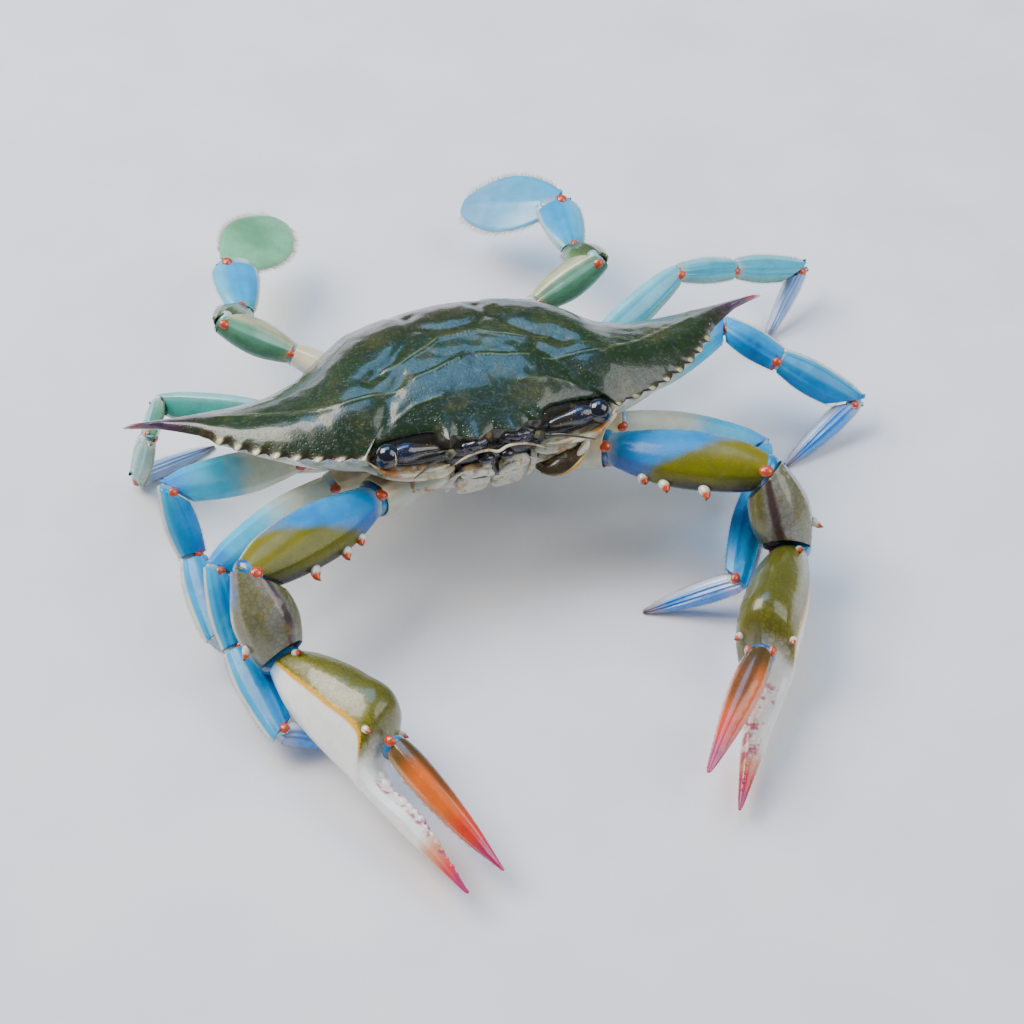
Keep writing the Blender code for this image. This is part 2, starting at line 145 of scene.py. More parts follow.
def shaped_ball(columns: int, rows: int, place: Place) -> bmesh.types.BMesh:
    """Warps a ball into a closed piece.

    Args:
        columns: faces round the ball.
        rows: faces from pole to pole.
        place: gives a point, its skin coordinates and its crest for a polar angle and a turn.

    Returns:
        The mesh in millimetres, with its faces out.
    """
    bm = bmesh.new()
    skin = bm.verts.layers.float_vector.new("skin")
    crest = bm.verts.layers.float.new("crest")
    bmesh.ops.create_grid(bm, x_segments=columns, y_segments=rows, size=1.0)
    rim = [vert for vert in bm.verts if vert.is_boundary]
    for vert in bm.verts:
        turn = round((vert.co.x + 1) / 2 * columns) % columns / columns * 2 * math.pi
        vert.co, vert[skin], vert[crest] = place((vert.co.y + 1) / 2 * math.pi, turn)
    bmesh.ops.remove_doubles(bm, verts=rim, dist=1e-4)
    face_outwards(bm)
    return bm


def face_outwards(bm: bmesh.types.BMesh) -> None:
    """Turns the faces of a closed mesh outwards."""
    bmesh.ops.recalc_face_normals(bm, faces=bm.faces)
    if bm.calc_volume(signed=True) < 0:
        bmesh.ops.reverse_faces(bm, faces=bm.faces)


def bent_rod(path: list[Vector], radius: Stations, columns: int, rows: int, flat: float = 1.0,
             broad: Vector = Vector((0, 0, 1)), beads: float = 0.0,
             bead_depth: float = 0.0) -> bmesh.types.BMesh:
    """A rod along a smooth path.

    Args:
        path: what its middle runs through.
        radius: (share, mm) stations of its half width.
        columns: faces round it.
        rows: faces along it.
        flat: its thickness as a share of its width.
        broad: the way that its thin side looks.
        beads: how many rings it has along its length.
        bead_depth: how deep the rings are, as a share of the radius.

    Returns:
        The mesh in millimetres.
    """

    def place(polar: float, turn: float) -> Placed:
        """A point of the rod."""
        share = (1 - math.cos(polar)) / 2
        on = path_at(path, min(1.0, share + STEP)) - path_at(path, max(0.0, share - STEP))
        across = on.cross(broad).normalized()
        up = across.cross(on).normalized()
        full = math.sin(polar) ** 0.6
        full *= 1 - bead_depth * (0.5 + 0.5 * math.cos(2 * math.pi * beads * share))
        r = curve_at(radius, share) * full
        spot = path_at(path, share) + across * r * math.cos(turn) + up * r * flat * math.sin(turn)
        return spot, Vector((share, math.cos(turn), math.sin(turn))), 0.0

    return shaped_ball(columns, rows, place)


def egg(middle: Vector, half: Vector, columns: int = 24, rows: int = 16, power: float = 1.0,
        turned: Matrix | None = None) -> bmesh.types.BMesh:
    """A ball or cushion-like lump.

    Args:
        middle: its place.
        half: half its size along each axis.
        columns: faces round it.
        rows: faces from top to bottom.
        power: 1 is round, and less is boxier.
        turned: its rotation.

    Returns:
        The mesh in millimetres.
    """
    rotation = turned or Matrix.Identity(3)

    def place(polar: float, turn: float) -> Placed:
        """A point of the egg."""
        x = boxy(math.sin(polar), power) * boxy(math.cos(turn), power)
        y = boxy(math.sin(polar), power) * boxy(math.sin(turn), power)
        z = boxy(math.cos(polar), power)
        spot = rotation @ Vector((x * half.x, y * half.y, z * half.z))
        return middle + spot, Vector((x, y, z)), 0.0

    return shaped_ball(columns, rows, place)


def join(target: bmesh.types.BMesh, other: bmesh.types.BMesh) -> None:
    """Adds a mesh with the same layers to another, and frees it.

    Args:
        target: the mesh that grows.
        other: the mesh that is used up.
    """
    kept = bpy.data.meshes.new("joining")
    other.to_mesh(kept)
    other.free()
    target.from_mesh(kept)
    bpy.data.meshes.remove(kept)


def scattered(template: bmesh.types.BMesh, places: list[Matrix], skins: list[Point],
              roots: list[tuple[float, float]] | None = None) -> bpy.types.Mesh:
    """Joins many copies of a small shape.

    Args:
        template: the small shape, which is freed.
        places: where each copy goes, in millimetres.
        skins: the skin coordinates of each copy.
        roots: for tufts, where each one's root is on an unwrap of the skin under it.

    Returns:
        One mesh, in metres.
    """
    template.verts.index_update()
    base = np.array([vert.co[:] + (1.0,) for vert in template.verts])
    faces = [[vert.index for vert in face.verts] for face in template.faces]
    template.free()
    count = len(base)
    points = np.concatenate([(base @ np.array(place).T)[:, :3] for place in places]) * MM
    made = bpy.data.meshes.new("scattered")
    copies = [[i + n * count for i in face] for n in range(len(places)) for face in faces]
    made.from_pydata(points.tolist(), [], copies)
    layer = made.attributes.new("skin", "FLOAT_VECTOR", "POINT")
    layer.data.foreach_set("vector", np.repeat(np.array(skins), count, axis=0).ravel())
    made.attributes.new("crest", "FLOAT", "POINT")
    if roots:
        low, high = base.min(axis=0)[[0, 2]], base.max(axis=0)[[0, 2]]
        patch = ((base[:, [0, 2]] - low) / (high - low) - 0.5) * TUFT_PATCH
        corners = patch[[i for face in faces for i in face]]
        unwrapped = np.concatenate([corners + root for root in roots])
        made.uv_layers.new(name="OFBake").data.foreach_set("uv", unwrapped.ravel())
    return made


def stand_on(place: Vector, along: Vector, side: Vector, scale: Vector) -> Matrix:
    """Places a small shape.

    Args:
        place: its foot.
        along: where its Z axis points.
        side: where its X axis roughly points.
        scale: its size along its own axes.

    Returns:
        The matrix.
    """
    z = along.normalized()
    y = z.cross(side).normalized()
    turned = Matrix((y.cross(z), y, z)).transposed().to_4x4()
    return Matrix.Translation(place) @ turned @ Matrix.Diagonal((*scale, 1.0))


# ---------------------------------------------------------------- finishes


class Axis(Enum):
    """The directions that a patch of colour can fade along."""

    ALONG = 0
    FORE = 1
    FACE = 2
    CREST = 3


def linear(colour: str) -> tuple[float, float, float, float]:
    """A '#rrggbb' colour as the shader's linear values."""
    parts = [int(colour[i : i + 2], 16) / 255 for i in (1, 3, 5)]
    return (*[c / 12.92 if c <= 0.04045 else ((c + 0.055) / 1.055) ** 2.4 for c in parts], 1.0)


@dataclass(frozen=True)
class Fade:
    """Where a patch sets in along one direction: nothing at start, all of it at end.

    slant is how much the share along the piece adds to the direction, which sets the patch's edge askew.
    """

    axis: Axis
    start: float
    end: float
    slant: float = 0.0


@dataclass(frozen=True)
class Patch:
    """A patch of another colour on a finish."""

    colour: str
    fades: tuple[Fade, ...]
    strength: float = 1.0


@dataclass(frozen=True)
class Blotch:
    """Cloudy blotches: colour, their size in mm, the level of noise that they start at, and strength."""

    colour: str
    size: float
    level: float = 0.55
    strength: float = 0.7
    fades: tuple[Fade, ...] = ()


@dataclass(frozen=True)
class Speckle:
    """Small round spots: colour, distance between them in mm, and how much of a cell a spot fills."""

    colour: str
    pitch: float
    fill: float
    strength: float = 1.0
    fades: tuple[Fade, ...] = ()


class Nodes:
    """Makes and links the nodes of one material."""

    def __init__(self, name: str) -> None:
        """Starts a material with its shader.

        Args:
            name: the material's name.
        """
        self.material = bpy.data.materials.new(name)
        self.material.use_nodes = True
        self.tree = self.material.node_tree
        self.shader = self.tree.nodes["Principled BSDF"]
        self.room = self.tree.nodes.new("ShaderNodeTexCoord").outputs["Object"]
        self.axes: dict[Axis, bpy.types.NodeSocket] = {}

    def put(self, socket: bpy.types.NodeSocket, value: object) -> None:
        """Links a socket to another, or sets its value."""
        if isinstance(value, bpy.types.NodeSocket):
            self.tree.links.new(value, socket)
        else:
            socket.default_value = value

    def add(self, kind: str, inputs: dict[str | int, object], **settings: object) -> bpy.types.Node:
        """Adds a node.

        Args:
            kind: its type.
            inputs: what goes in each socket.
            settings: its properties.

        Returns:
            The node.
        """
        node = self.tree.nodes.new(kind)
        for name, value in settings.items():
            setattr(node, name, value)
        for key, value in inputs.items():
            self.put(node.inputs[key], value)
        return node

    def math(self, operation: str, a: object, b: object = 0.0) -> bpy.types.NodeSocket:
        """One step of arithmetic."""
        return self.add("ShaderNodeMath", {0: a, 1: b}, operation=operation).outputs[0]

    def fade(self, value: object, start: float, end: float) -> bpy.types.NodeSocket:
        """A smooth step from 0 at start to 1 at end."""
        node = self.add("ShaderNodeMapRange", {"Value": value, "From Min": start, "From Max": end},
                        interpolation_type="SMOOTHSTEP")
        return node.outputs["Result"]

    def mix(self, factor: object, a: object, b: object, blend: str = "MIX") -> bpy.types.NodeSocket:
        """Blends two colours."""
        node = self.add("ShaderNodeMix", {0: factor, 6: a, 7: b}, data_type="RGBA", blend_type=blend)
        return node.outputs[2]

    def noise(self, size: float, detail: float = 3.0) -> bpy.types.Node:
        """Cloudy noise whose patches are about size mm across."""
        return self.add("ShaderNodeTexNoise", {"Vector": self.room, "Scale": 1 / (size * MM),
                                               "Detail": detail})

    def cells(self, pitch: float, feature: str = "F1") -> bpy.types.NodeSocket:
        """Distance within cells of about pitch mm, as a share of the pitch."""
        node = self.add("ShaderNodeTexVoronoi", {"Vector": self.room, "Scale": 1 / (pitch * MM)},
                        feature=feature)
        return node.outputs["Distance"]

    def bump(self, height: object, depth: float, under: object = None) -> bpy.types.NodeSocket:
        """Raises the surface by height times depth in mm, over another bump.

        Args:
            height: the pattern.
            depth: how far it raises the surface.
            under: the bump below it.

        Returns:
            The surface direction.
        """
        inputs = {"Height": height, "Distance": depth * MM, "Strength": 1.0}
        if under is not None:
            inputs["Normal"] = under
        return self.add("ShaderNodeBump", inputs).outputs["Normal"]

    def read_skin(self, wobble: float) -> None:
        """Reads the mesh's skin coordinates and crests, which fades run along.

        Args:
            wobble: how wavy the edges of patches are.
        """
        skin = self.add("ShaderNodeAttribute", {}, attribute_name="skin").outputs["Vector"]
        crest = self.add("ShaderNodeAttribute", {}, attribute_name="crest").outputs["Fac"]
        cloud = self.noise(7.0, 4.0).outputs["Color"]
        shift = self.add("ShaderNodeVectorMath", {0: cloud, 1: (0.5,) * 3}, operation="SUBTRACT").outputs[0]
        wavy = self.add("ShaderNodeVectorMath", {0: shift, 1: (wobble,) * 3, 2: skin},
                        operation="MULTIPLY_ADD")
        parts = self.add("ShaderNodeSeparateXYZ", {0: wavy.outputs[0]}).outputs
        self.axes = {Axis.ALONG: parts[0], Axis.FORE: parts[1], Axis.FACE: parts[2], Axis.CREST: crest}

    def cover(self, fades: tuple[Fade, ...], strength: float) -> object:
        """How strongly something shows.

        Args:
            fades: where it sets in.
            strength: how strongly it shows inside them.

        Returns:
            A socket, or the strength itself where there are no fades.
        """
        total: object = strength
        for fade in fades:
            value = self.axes[fade.axis]
            if fade.slant:
                value = self.math("ADD", value, self.math("MULTIPLY", self.axes[Axis.ALONG], fade.slant))
            total = self.math("MULTIPLY", self.fade(value, fade.start, fade.end), total)
        return total


@dataclass(frozen=True)
class Finish:
    """The look of a piece: a ground colour with patches, mottling, speckles, pits and a wet gloss.

    Fades run over the skin coordinates that every mesh carries. Sizes and depths are in millimetres.
    """

    name: str
    slot: str
    ground: str
    patches: tuple[Patch, ...] = ()
    speckles: tuple[Speckle, ...] = ()
    blotches: tuple[Blotch, ...] = ()
    wobble: float = 0.12
    mottle: float = 0.22
    mottle_size: float = 3.0
    pit_size: float = 0.5
    pit_depth: float = 0.03
    lump_depth: float = 0.08
    roughness: float = 0.3
    coat: float = 0.6
    coat_roughness: float = 0.12
    gloss: float = 0.5
    veins: float = 0.0
    vein_colour: str = "#3a3a10"
    vein_size: float = 1.3
    vein_fades: tuple[Fade, ...] = ()
    translucence: float = 0.03

    made: ClassVar[dict[str, bpy.types.Material]] = {}

    def material(self) -> bpy.types.Material:
        """The finish as a material, made once."""
        if self.name not in self.made:
            self.made[self.name] = self.build()
        return self.made[self.name]

    def patched(self, nodes: Nodes) -> object:
        """The ground colour with its patches and blotches.

        Args:
            nodes: the material's nodes.

        Returns:
            The colour.
        """
        colour: object = linear(self.ground)
        for patch in self.patches:
            colour = nodes.mix(nodes.cover(patch.fades, patch.strength), colour, linear(patch.colour))
        for blotch in self.blotches:
            cloud = nodes.noise(blotch.size).outputs["Fac"]
            spread = nodes.fade(cloud, blotch.level, blotch.level + 0.12)
            spread = nodes.math("MULTIPLY", spread, nodes.cover(blotch.fades, blotch.strength))
            colour = nodes.mix(spread, colour, linear(blotch.colour))
        return colour

    def mottled(self, nodes: Nodes, colour: object, fine: bpy.types.NodeSocket) -> object:
        """Adds fine dark and light mottling, and veins.

        Args:
            nodes: the material's nodes.
            colour: what they go over.
            fine: the noise of the dark mottling.

        Returns:
            The new colour.
        """
        dark = nodes.math("MULTIPLY", nodes.fade(fine, 0.35, 0.68), self.mottle)
        colour = nodes.mix(dark, colour, nodes.mix(1.0, colour, SHADE, "MULTIPLY"))
        finer = nodes.noise(self.mottle_size * 0.45, 4.0).outputs["Fac"]
        light = nodes.math("MULTIPLY", nodes.fade(finer, 0.52, 0.75), self.mottle * 0.55)
        colour = nodes.mix(light, colour, nodes.mix(0.18, colour, GLINT))
        if self.veins:
            net = nodes.fade(nodes.cells(self.vein_size, "DISTANCE_TO_EDGE"), 0.14, 0.02)
            net = nodes.math("MULTIPLY", net, nodes.cover(self.vein_fades, self.veins))
            colour = nodes.mix(net, colour, linear(self.vein_colour))
        return colour

    def build(self) -> bpy.types.Material:
        """Builds the node tree.

        Returns:
            The material.
        """
        nodes = Nodes(self.name)
        nodes.read_skin(self.wobble)
        fine = nodes.noise(self.mottle_size, 6.0).outputs["Fac"]
        colour = self.mottled(nodes, self.patched(nodes), fine)
        height: object = nodes.math("MULTIPLY", fine, 0.6)
        for speckle in self.speckles:
            spot = nodes.fade(nodes.cells(speckle.pitch), speckle.fill, speckle.fill * 0.55)
            spot = nodes.math("MULTIPLY", spot, nodes.cover(speckle.fades, speckle.strength))
            colour = nodes.mix(spot, colour, linear(speckle.colour))
            height = nodes.math("ADD", height, spot)
        lumps = nodes.bump(height, self.lump_depth)
        pits = nodes.fade(nodes.cells(self.pit_size), 0.0, 0.45)
        worn = nodes.math("MULTIPLY_ADD", fine, 0.25)
        worn.node.inputs[2].default_value = self.roughness - 0.1
        sockets = {
            "Base Color": colour,
            "Roughness": worn,
            "Normal": nodes.bump(pits, self.pit_depth, lumps),
            "Specular IOR Level": self.gloss,
            "Coat Weight": self.coat,
            "Coat Roughness": self.coat_roughness,
            "Subsurface Weight": self.translucence,
            "Subsurface Radius": LIGHT_REACH,
            "Subsurface Scale": 0.5,
        }
        for name, value in sockets.items():
            nodes.put(nodes.shader.inputs[name], value)
        return nodes.material


# ---------------------------------------------------------------- the crab's build


class Side(Enum):
    """The crab's own left and right."""

    LEFT = 1
    RIGHT = -1

    @property
    def word(self) -> str:
        """The side's word in a piece's name."""
        return self.name.lower()

    def flip(self, point: Point) -> Vector:
        """A point of the left side, on this side."""
        return Vector((point[0] * self.value, point[1], point[2]))

    def path(self, points: Iterable[Point]) -> list[Vector]:
        """A line through points of the left side, on this side."""
        return [self.flip(point) for point in points]


@dataclass(frozen=True)
class Stance:
    """How the body stands over the floor."""

    place: Point = (-12.45, 18.05, 33.3)
    nose_up: float = 10.0
    lean: float = 0.8

    def matrix(self) -> Matrix:
        """Body frame to the room, in millimetres."""
        lean = Matrix.Rotation(math.radians(self.lean), 4, "Y")
        return Matrix.Translation(self.place) @ lean @ Matrix.Rotation(math.radians(-self.nose_up), 4, "X")


@dataclass
class Assembly:
    """What every sub-assembly shares: its stance and how it adds a piece."""

    stance: Stance

    def add(self, name: str, shape: bmesh.types.BMesh | bpy.types.Mesh, finish: Finish,
            replaces: tuple[str, ...] = (), to_room: Matrix | None = None) -> bpy.types.Object:
        """Makes a finished piece that rides on the frame.

        Args:
            name: the piece's name.
            shape: a mesh builder in millimetres, or a finished mesh in metres.
            finish: its look.
            replaces: the CAD nodes that it stands for.
            to_room: its frame to the room in millimetres, or none for the body frame.

        Returns:
            The piece's object.
        """
        if isinstance(shape, bmesh.types.BMesh):
            to_metres = Matrix.Scale(MM, 4) @ (to_room or self.stance.matrix())
            bmesh.ops.transform(shape, matrix=to_metres, verts=shape.verts)
            face_outwards(shape)
            mesh = bpy.data.meshes.new(name)
            shape.to_mesh(mesh)
            shape.free()
        else:
            mesh = shape
        mesh.name = name
        mesh.shade_smooth()
        mesh.set_sharp_from_angle(angle=math.radians(SHARP_ANGLE))
        mesh.materials.clear()
        mesh.materials.append(finish.material())
        piece = bpy.data.objects.new(name, mesh)
        bpy.context.scene.collection.objects.link(piece)
        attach(piece, ROOT)
        if replaces:
            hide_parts(*replaces)
        LOG.info("%s: %d faces", name, len(mesh.polygons))
        return piece


@dataclass(frozen=True)
class Rod:
    """A rod of the face, with its path on the crab's left. The sizes are those that bent_rod takes."""

    finish: Finish
    path: tuple[Point, ...]
    radius: Stations
    columns: int
    rows: int
    flat: float = 1.0
    broad: Point = (0, 0, 1)
    beads: float = 0.0
    bead_depth: float = 0.0

    def shape(self, path: list[Vector]) -> bmesh.types.BMesh:
        """The rod's mesh along a placed path."""
        return bent_rod(path, self.radius, self.columns, self.rows, self.flat, Vector(self.broad), self.beads,
                        self.bead_depth)


@dataclass
class Carapace(Assembly):
    """The back: a domed shell with a toothed edge, a long spine each side, ridges and pale granules."""

    spine_foot: Point = (67.5, 2.9, -0.5)
    spine_tip: Point = (75.0, 3.9, -0.5)
    rear: tuple[Point, ...] = ((0, 32.5, -7.6), (12, 32.0, -7.5), (20.5, 29.8, -7.1), (27, 23.2, -6.4),
                               (34, 14.8, -5.2), (42, 8.8, -3.6), (50, 5.6, -2.0), (58, 4.3, -1.0),
                               (66.5, 4.0, -0.7))
    behind_teeth: tuple[Point, ...] = ((67.4, 1.0, -0.5), (63.8, -2.0, -0.3), (60.0, -5.2, -0.2))
    outer_tooth: tuple[float, float] = (28.4, -27.8)
    teeth: int = 8
    teeth_from: float = 0.15
    tooth_depth: float = 1.5
    notch_share: float = 0.36
    side_bulge: float = 4.0
    front_y: float = -30.4
    orbit: tuple[Point, ...] = ((28.4, -27.8, 0), (26.6, -25.2, 0.2), (20.0, -24.4, 0.8), (13.4, -25.6, 1.4),
                                (10.3, -29.9, 1.7))
    brow: tuple[Point, ...] = ((10.3, -29.9, 1.7), (8.0, -28.6, 1.4), (4.6, -30.8, 1.3), (2.4, -30.0, 1.4),
                               (0, -28.8, 1.4))
    crest_height: Stations = ((0, 11.2), (12, 10.9), (21, 9.6), (27, 8.5), (34, 6.0), (46, 3.8), (54, 2.2),
                              (65, 0.9), (75, 0.1))
    crest_place: Stations = ((0, 0.5), (12, 0.48), (21, 0.44), (27, 0.38), (34, 0.3), (75, 0.3))
    belly: float = 10.0
    # Size that the skin coordinates run over, out and back.
    skin_size: tuple[float, float] = (75.0, 30.0)
    rows: int = 150
    rear_steps: int = 70
    spine_steps: int = 18
    gap_steps: int = 16
    tooth_steps: int = 16
    front_steps: tuple[int, int] = (40, 36)
    granule_count: int = 2300
    # The part of the back that granules are tried on, out to each side and from front to rear.
    granule_side: float = 66.0
    granule_rows: tuple[float, float] = (-30.0, 26.0)
    granule_gap_squared: float = 0.95
    granule_radius: tuple[float, float] = (0.09, 0.17)
    # Each ridge is (points on the left of the middle, height, half width).
    ridges: tuple[tuple[tuple[tuple[float, float], ...], float, float], ...] = (
        (((0, -4.1), (4.6, -4.2), (8, -6.3), (14, -9.0), (19, -9.6)), 0.32, 0.42),
        (((2.0, -11.7), (5.0, -12.4), (8.0, -13.5), (13.0, -14.5)), 0.32, 0.4),
        (((16, -16.0), (24, -16.1), (30, -16.3), (40, -12.4), (48, -7.4), (55, -2.8)), 0.26, 0.42),
        (((8.8, -20.4), (15.0, -20.7), (20, -22.6)), 0.22, 0.4),
    )
    # Each groove is (points, depth, half width).
    grooves: tuple[tuple[tuple[tuple[float, float], ...], float, float], ...] = (
        (((8, 9), (9.5, 2), (11.5, -3), (16, -7.5), (22, -11)), 0.75, 1.9),
        (((0, -1.2), (4, -1.0), (8.5, 1.5)), 0.5, 1.6),
        (((15.5, -12.5), (20, -18), (23, -23)), 0.55, 1.8),
        (((8, 9), (10, 16), (12, 24)), 0.4, 2.0),
    )
    # Each swelling is (x, y, half width, half length, height).
    swellings: tuple[tuple[float, float, float, float, float], ...] = (
        (0, -18, 7, 6, 0.7), (11, -18, 7, 5.5, 0.55), (0, 8, 8, 8, 0.6), (25, 2, 13, 11, 0.7),
        (28, -18, 8, 5, 0.5),
        (50, -4, 12, 4, 0.3))

    def even_front(self, x: float) -> float:
        """Where the even front edge stands."""
        return self.front_y + (self.outer_tooth[1] - self.front_y) * (x / self.outer_tooth[0]) ** 2

    def side_point(self, share: float) -> tuple[Vector, Vector]:
        """A point of the toothed side's even line, and the way out from it.

        Args:
            share: the place along it, from the rear to the front.

        Returns:
            The point and the direction.
        """
        end, first = Vector(self.behind_teeth[-1][:2]), Vector(self.outer_tooth)
        along = first - end
        outward = Vector((-along.y, along.x)).normalized()
        return end + along * share + outward * self.side_bulge * 4 * share * (1 - share), outward

    def tooth_offset(self, share: float) -> float:
        """How far the toothed edge stands off its even line.

        Args:
            share: the place along the side, from the rear to the front.

        Returns:
            The distance, outwards.
        """
        pitch = (1 - self.teeth_from) / (self.teeth - 1)
        place = (share - self.teeth_from) / pitch
        if place < -1:
            return 0.0
        u = place % 1.0
        depth = 0.5 if place > 0 else 0.5 * (place + 1)
        if u < self.notch_share and place >= 0:
            return 0.45 - 0.95 * (u / self.notch_share) ** 0.7
        return -depth + (0.45 + depth) * max(0.0, (u - self.notch_share) / (1 - self.notch_share)) ** 0.8

    def half_margin(self) -> list[tuple[Vector, Vector, float | None]]:
        """The left half of the edge, from the rear to the front.

        Returns:
            For each step an even point, how a tooth, a spine or the orbit shifts it, and how far out it
            stands on a tooth, or None off the toothed side.
        """
        level = Vector((0, 0, 0))
        foot, tip = Vector(self.spine_foot), Vector(self.spine_tip)
        rear = [Vector(p) for p in self.rear]
        edge = [(path_at(rear, n / self.rear_steps), level, None) for n in range(self.rear_steps + 1)]
        corners = [Vector(self.rear[-1]), foot, Vector(self.behind_teeth[0])]
        for n in range(1, self.spine_steps):
            out = 1 - abs(n / (self.spine_steps / 2) - 1)
            edge.append((path_at(corners, n / self.spine_steps), (tip - foot) * out**1.1, None))
        after = [Vector(p) for p in self.behind_teeth]
        edge += [(path_at(after, n / self.gap_steps), level, None) for n in range(self.gap_steps)]
        steps = self.teeth * self.tooth_steps
        for n in range(steps + 1):
            share = n / steps
            even, outward = self.side_point(share)
            tooth = self.tooth_offset(share)
            shift = outward * self.tooth_depth * tooth
            stands = tooth if n < steps else None
            edge.append((Vector((*even, -0.2 * (1 - share))), Vector((*shift, 0)), stands))
        for points, count in zip((self.orbit, self.brow), self.front_steps):
            line = [Vector(p) for p in points]
            for n in range(1, count + 1):
                spot = path_at(line, n / count)
                even_y = self.even_front(spot.x)
                edge.append((Vector((spot.x, even_y, spot.z)), Vector((0, spot.y - even_y, 0)), None))
        return edge

    def edges(self) -> tuple[np.ndarray, np.ndarray]:
        """The even rear edge and front edge as (out, y, z) rows, in order outwards.

        Returns:
            The rear edge and the front edge.
        """
        rear = [Vector(p) for p in self.rear] + [Vector(self.spine_foot)]
        front = [Vector(self.spine_foot)] + [Vector(p) for p in self.behind_teeth]
        front += [Vector((*self.side_point(n / 8)[0], -0.2 * (1 - n / 8))) for n in range(1, 9)]
        front += [Vector((x, self.even_front(x), z)) for x, _, z in (*self.orbit[1:], *self.brow[1:])]
        return np.array([p[:] for p in rear]), np.array([p[:] for p in reversed(front)])

    def __post_init__(self) -> None:
        """Works out the edges that the back's height hangs on."""
        self.rear_edge, self.front_edge = self.edges()

    def top(self, x: float, y: float) -> float:
        """Height of the plain back over a point inside its edge.

        Args:
            x: the place across the body.
            y: the place along it.

        Returns:
            The height.
        """
        out = abs(x)
        front = [np.interp(out, self.front_edge[:, 0], self.front_edge[:, n]) for n in (1, 2)]
        rear = [np.interp(out, self.rear_edge[:, 0], self.rear_edge[:, n]) for n in (1, 2)]
        crest = front[0] + (rear[0] - front[0]) * curve_at(self.crest_place, out)
        edge = rear if y > crest else front
        down = 1.0
        if abs(edge[0] - crest) > 0.01:
            down = min(1.0, ((y - crest) / (edge[0] - crest)) ** 2)
        return edge[1] * down + curve_at(self.crest_height, out) * (1 - down) ** 1.15

    @staticmethod
    def line_distance(points: tuple[tuple[float, float], ...], spot: Vector, reach: float = 6.0) -> float:
        """Distance in the plane from a spot to a line through points.

        Args:
            points: the line's corners.
            spot: where to measure from.
            reach: how far from a part of the line it still counts.

        Returns:
            The distance, or a huge one beyond reach.
        """
        best = 1e9
        for a, b in zip(points, points[1:]):
            off_x = abs(spot.x - (a[0] + b[0]) / 2) - abs(a[0] - b[0]) / 2
            off_y = abs(spot.y - (a[1] + b[1]) / 2) - abs(a[1] - b[1]) / 2
            if max(off_x, off_y) > reach:
                continue
            start, end = Vector((*a, 0)), Vector((*b, 0))
            near, share = intersect_point_line(spot, start, end)
            near = start if share < 0 else end if share > 1 else near
            best = min(best, (near - spot).length)
        return best

    def relief(self, x: float, y: float) -> tuple[float, float]:
        """The back's own forms over its plain dome.

        Args:
            x: across.
            y: back.

        Returns:
            Height in mm, and how much of a pale ridge it is.
        """
        spot = Vector((abs(x), y, 0))
        height = sum(h * bell(spot.x - a, w) * bell(y - b, d) for a, b, w, d, h in self.swellings)
        pale = 0.0
        for points, rise, width in self.ridges:
            ridge = bell(self.line_distance(points, spot), width)
            height += rise * ridge * (0.85 + 0.15 * math.cos(spot.x * 7))
            pale = max(pale, ridge)
        for points, depth, width in self.grooves:
            height -= depth * bell(self.line_distance(points, spot), width)
        height += 0.12 * noise.noise(Vector((x * 0.35, y * 0.35, 3)))
        return height, pale

    def surface(self, x: float, y: float) -> Vector:
        """The point of the finished back above (x, y)."""
        return Vector((x, y, self.top(x, y) + self.relief(x, y)[0]))

    def shell_mesh(self) -> bmesh.types.BMesh:
        """The shell, back and underside.

        Returns:
            The mesh in millimetres.
        """
        left = self.half_margin()
        mirror = Vector((-1, 1, 1))
        right = [(even * mirror, shift * mirror, tooth) for even, shift, tooth in reversed(left[1:-1])]
        margin = left + right

        def place(polar: float, turn: float) -> Placed:
            """A point of the shell."""
            even, shift, tooth = margin[round(turn / (2 * math.pi) * len(margin)) % len(margin)]
            upper = polar < math.pi / 2
            share = min(polar, math.pi - polar) / (math.pi / 2)
            ring = 1 - (1 - share) ** 1.35
            x, y = even.x * ring, even.y * ring
            moved = Vector((x, y, 0)) + shift * ring ** (70 if tooth is not None else 14)
            forward = max(0.0, even.y / self.front_y)
            rim = (1 - ring**30) ** 0.5
            crest, under = 0.0, 0.0
            if upper:
                height, crest = self.relief(x, y) if ring < 0.995 else (0.0, 0.0)
                z = self.top(x, y) + height * (1 - ring**20) + 0.25 * rim
            else:
                z = even.z * ring**2 - self.belly * (1 - ring ** (2.5 + 4.5 * forward)) - 0.2 * rim
                under = 1.0
            if tooth is not None and upper:
                out = min(1.0, max(0.0, (tooth + 0.15) / 0.5))
                under = 0.4 * min(1.0, max(0.0, (ring - 0.962) / 0.025)) * (1 - 0.75 * out)
                crest = max(crest, 2.2 * out * min(1.0, max(0.0, (ring - 0.972) / 0.016)))
            if share > 0.999:
                under = 0.6
            out_size, back_size = self.skin_size
            skin = Vector((abs(moved.x) / out_size, moved.y / back_size, under))
            return Vector((moved.x, moved.y, z)), skin, crest

        return shaped_ball(len(margin), self.rows, place)

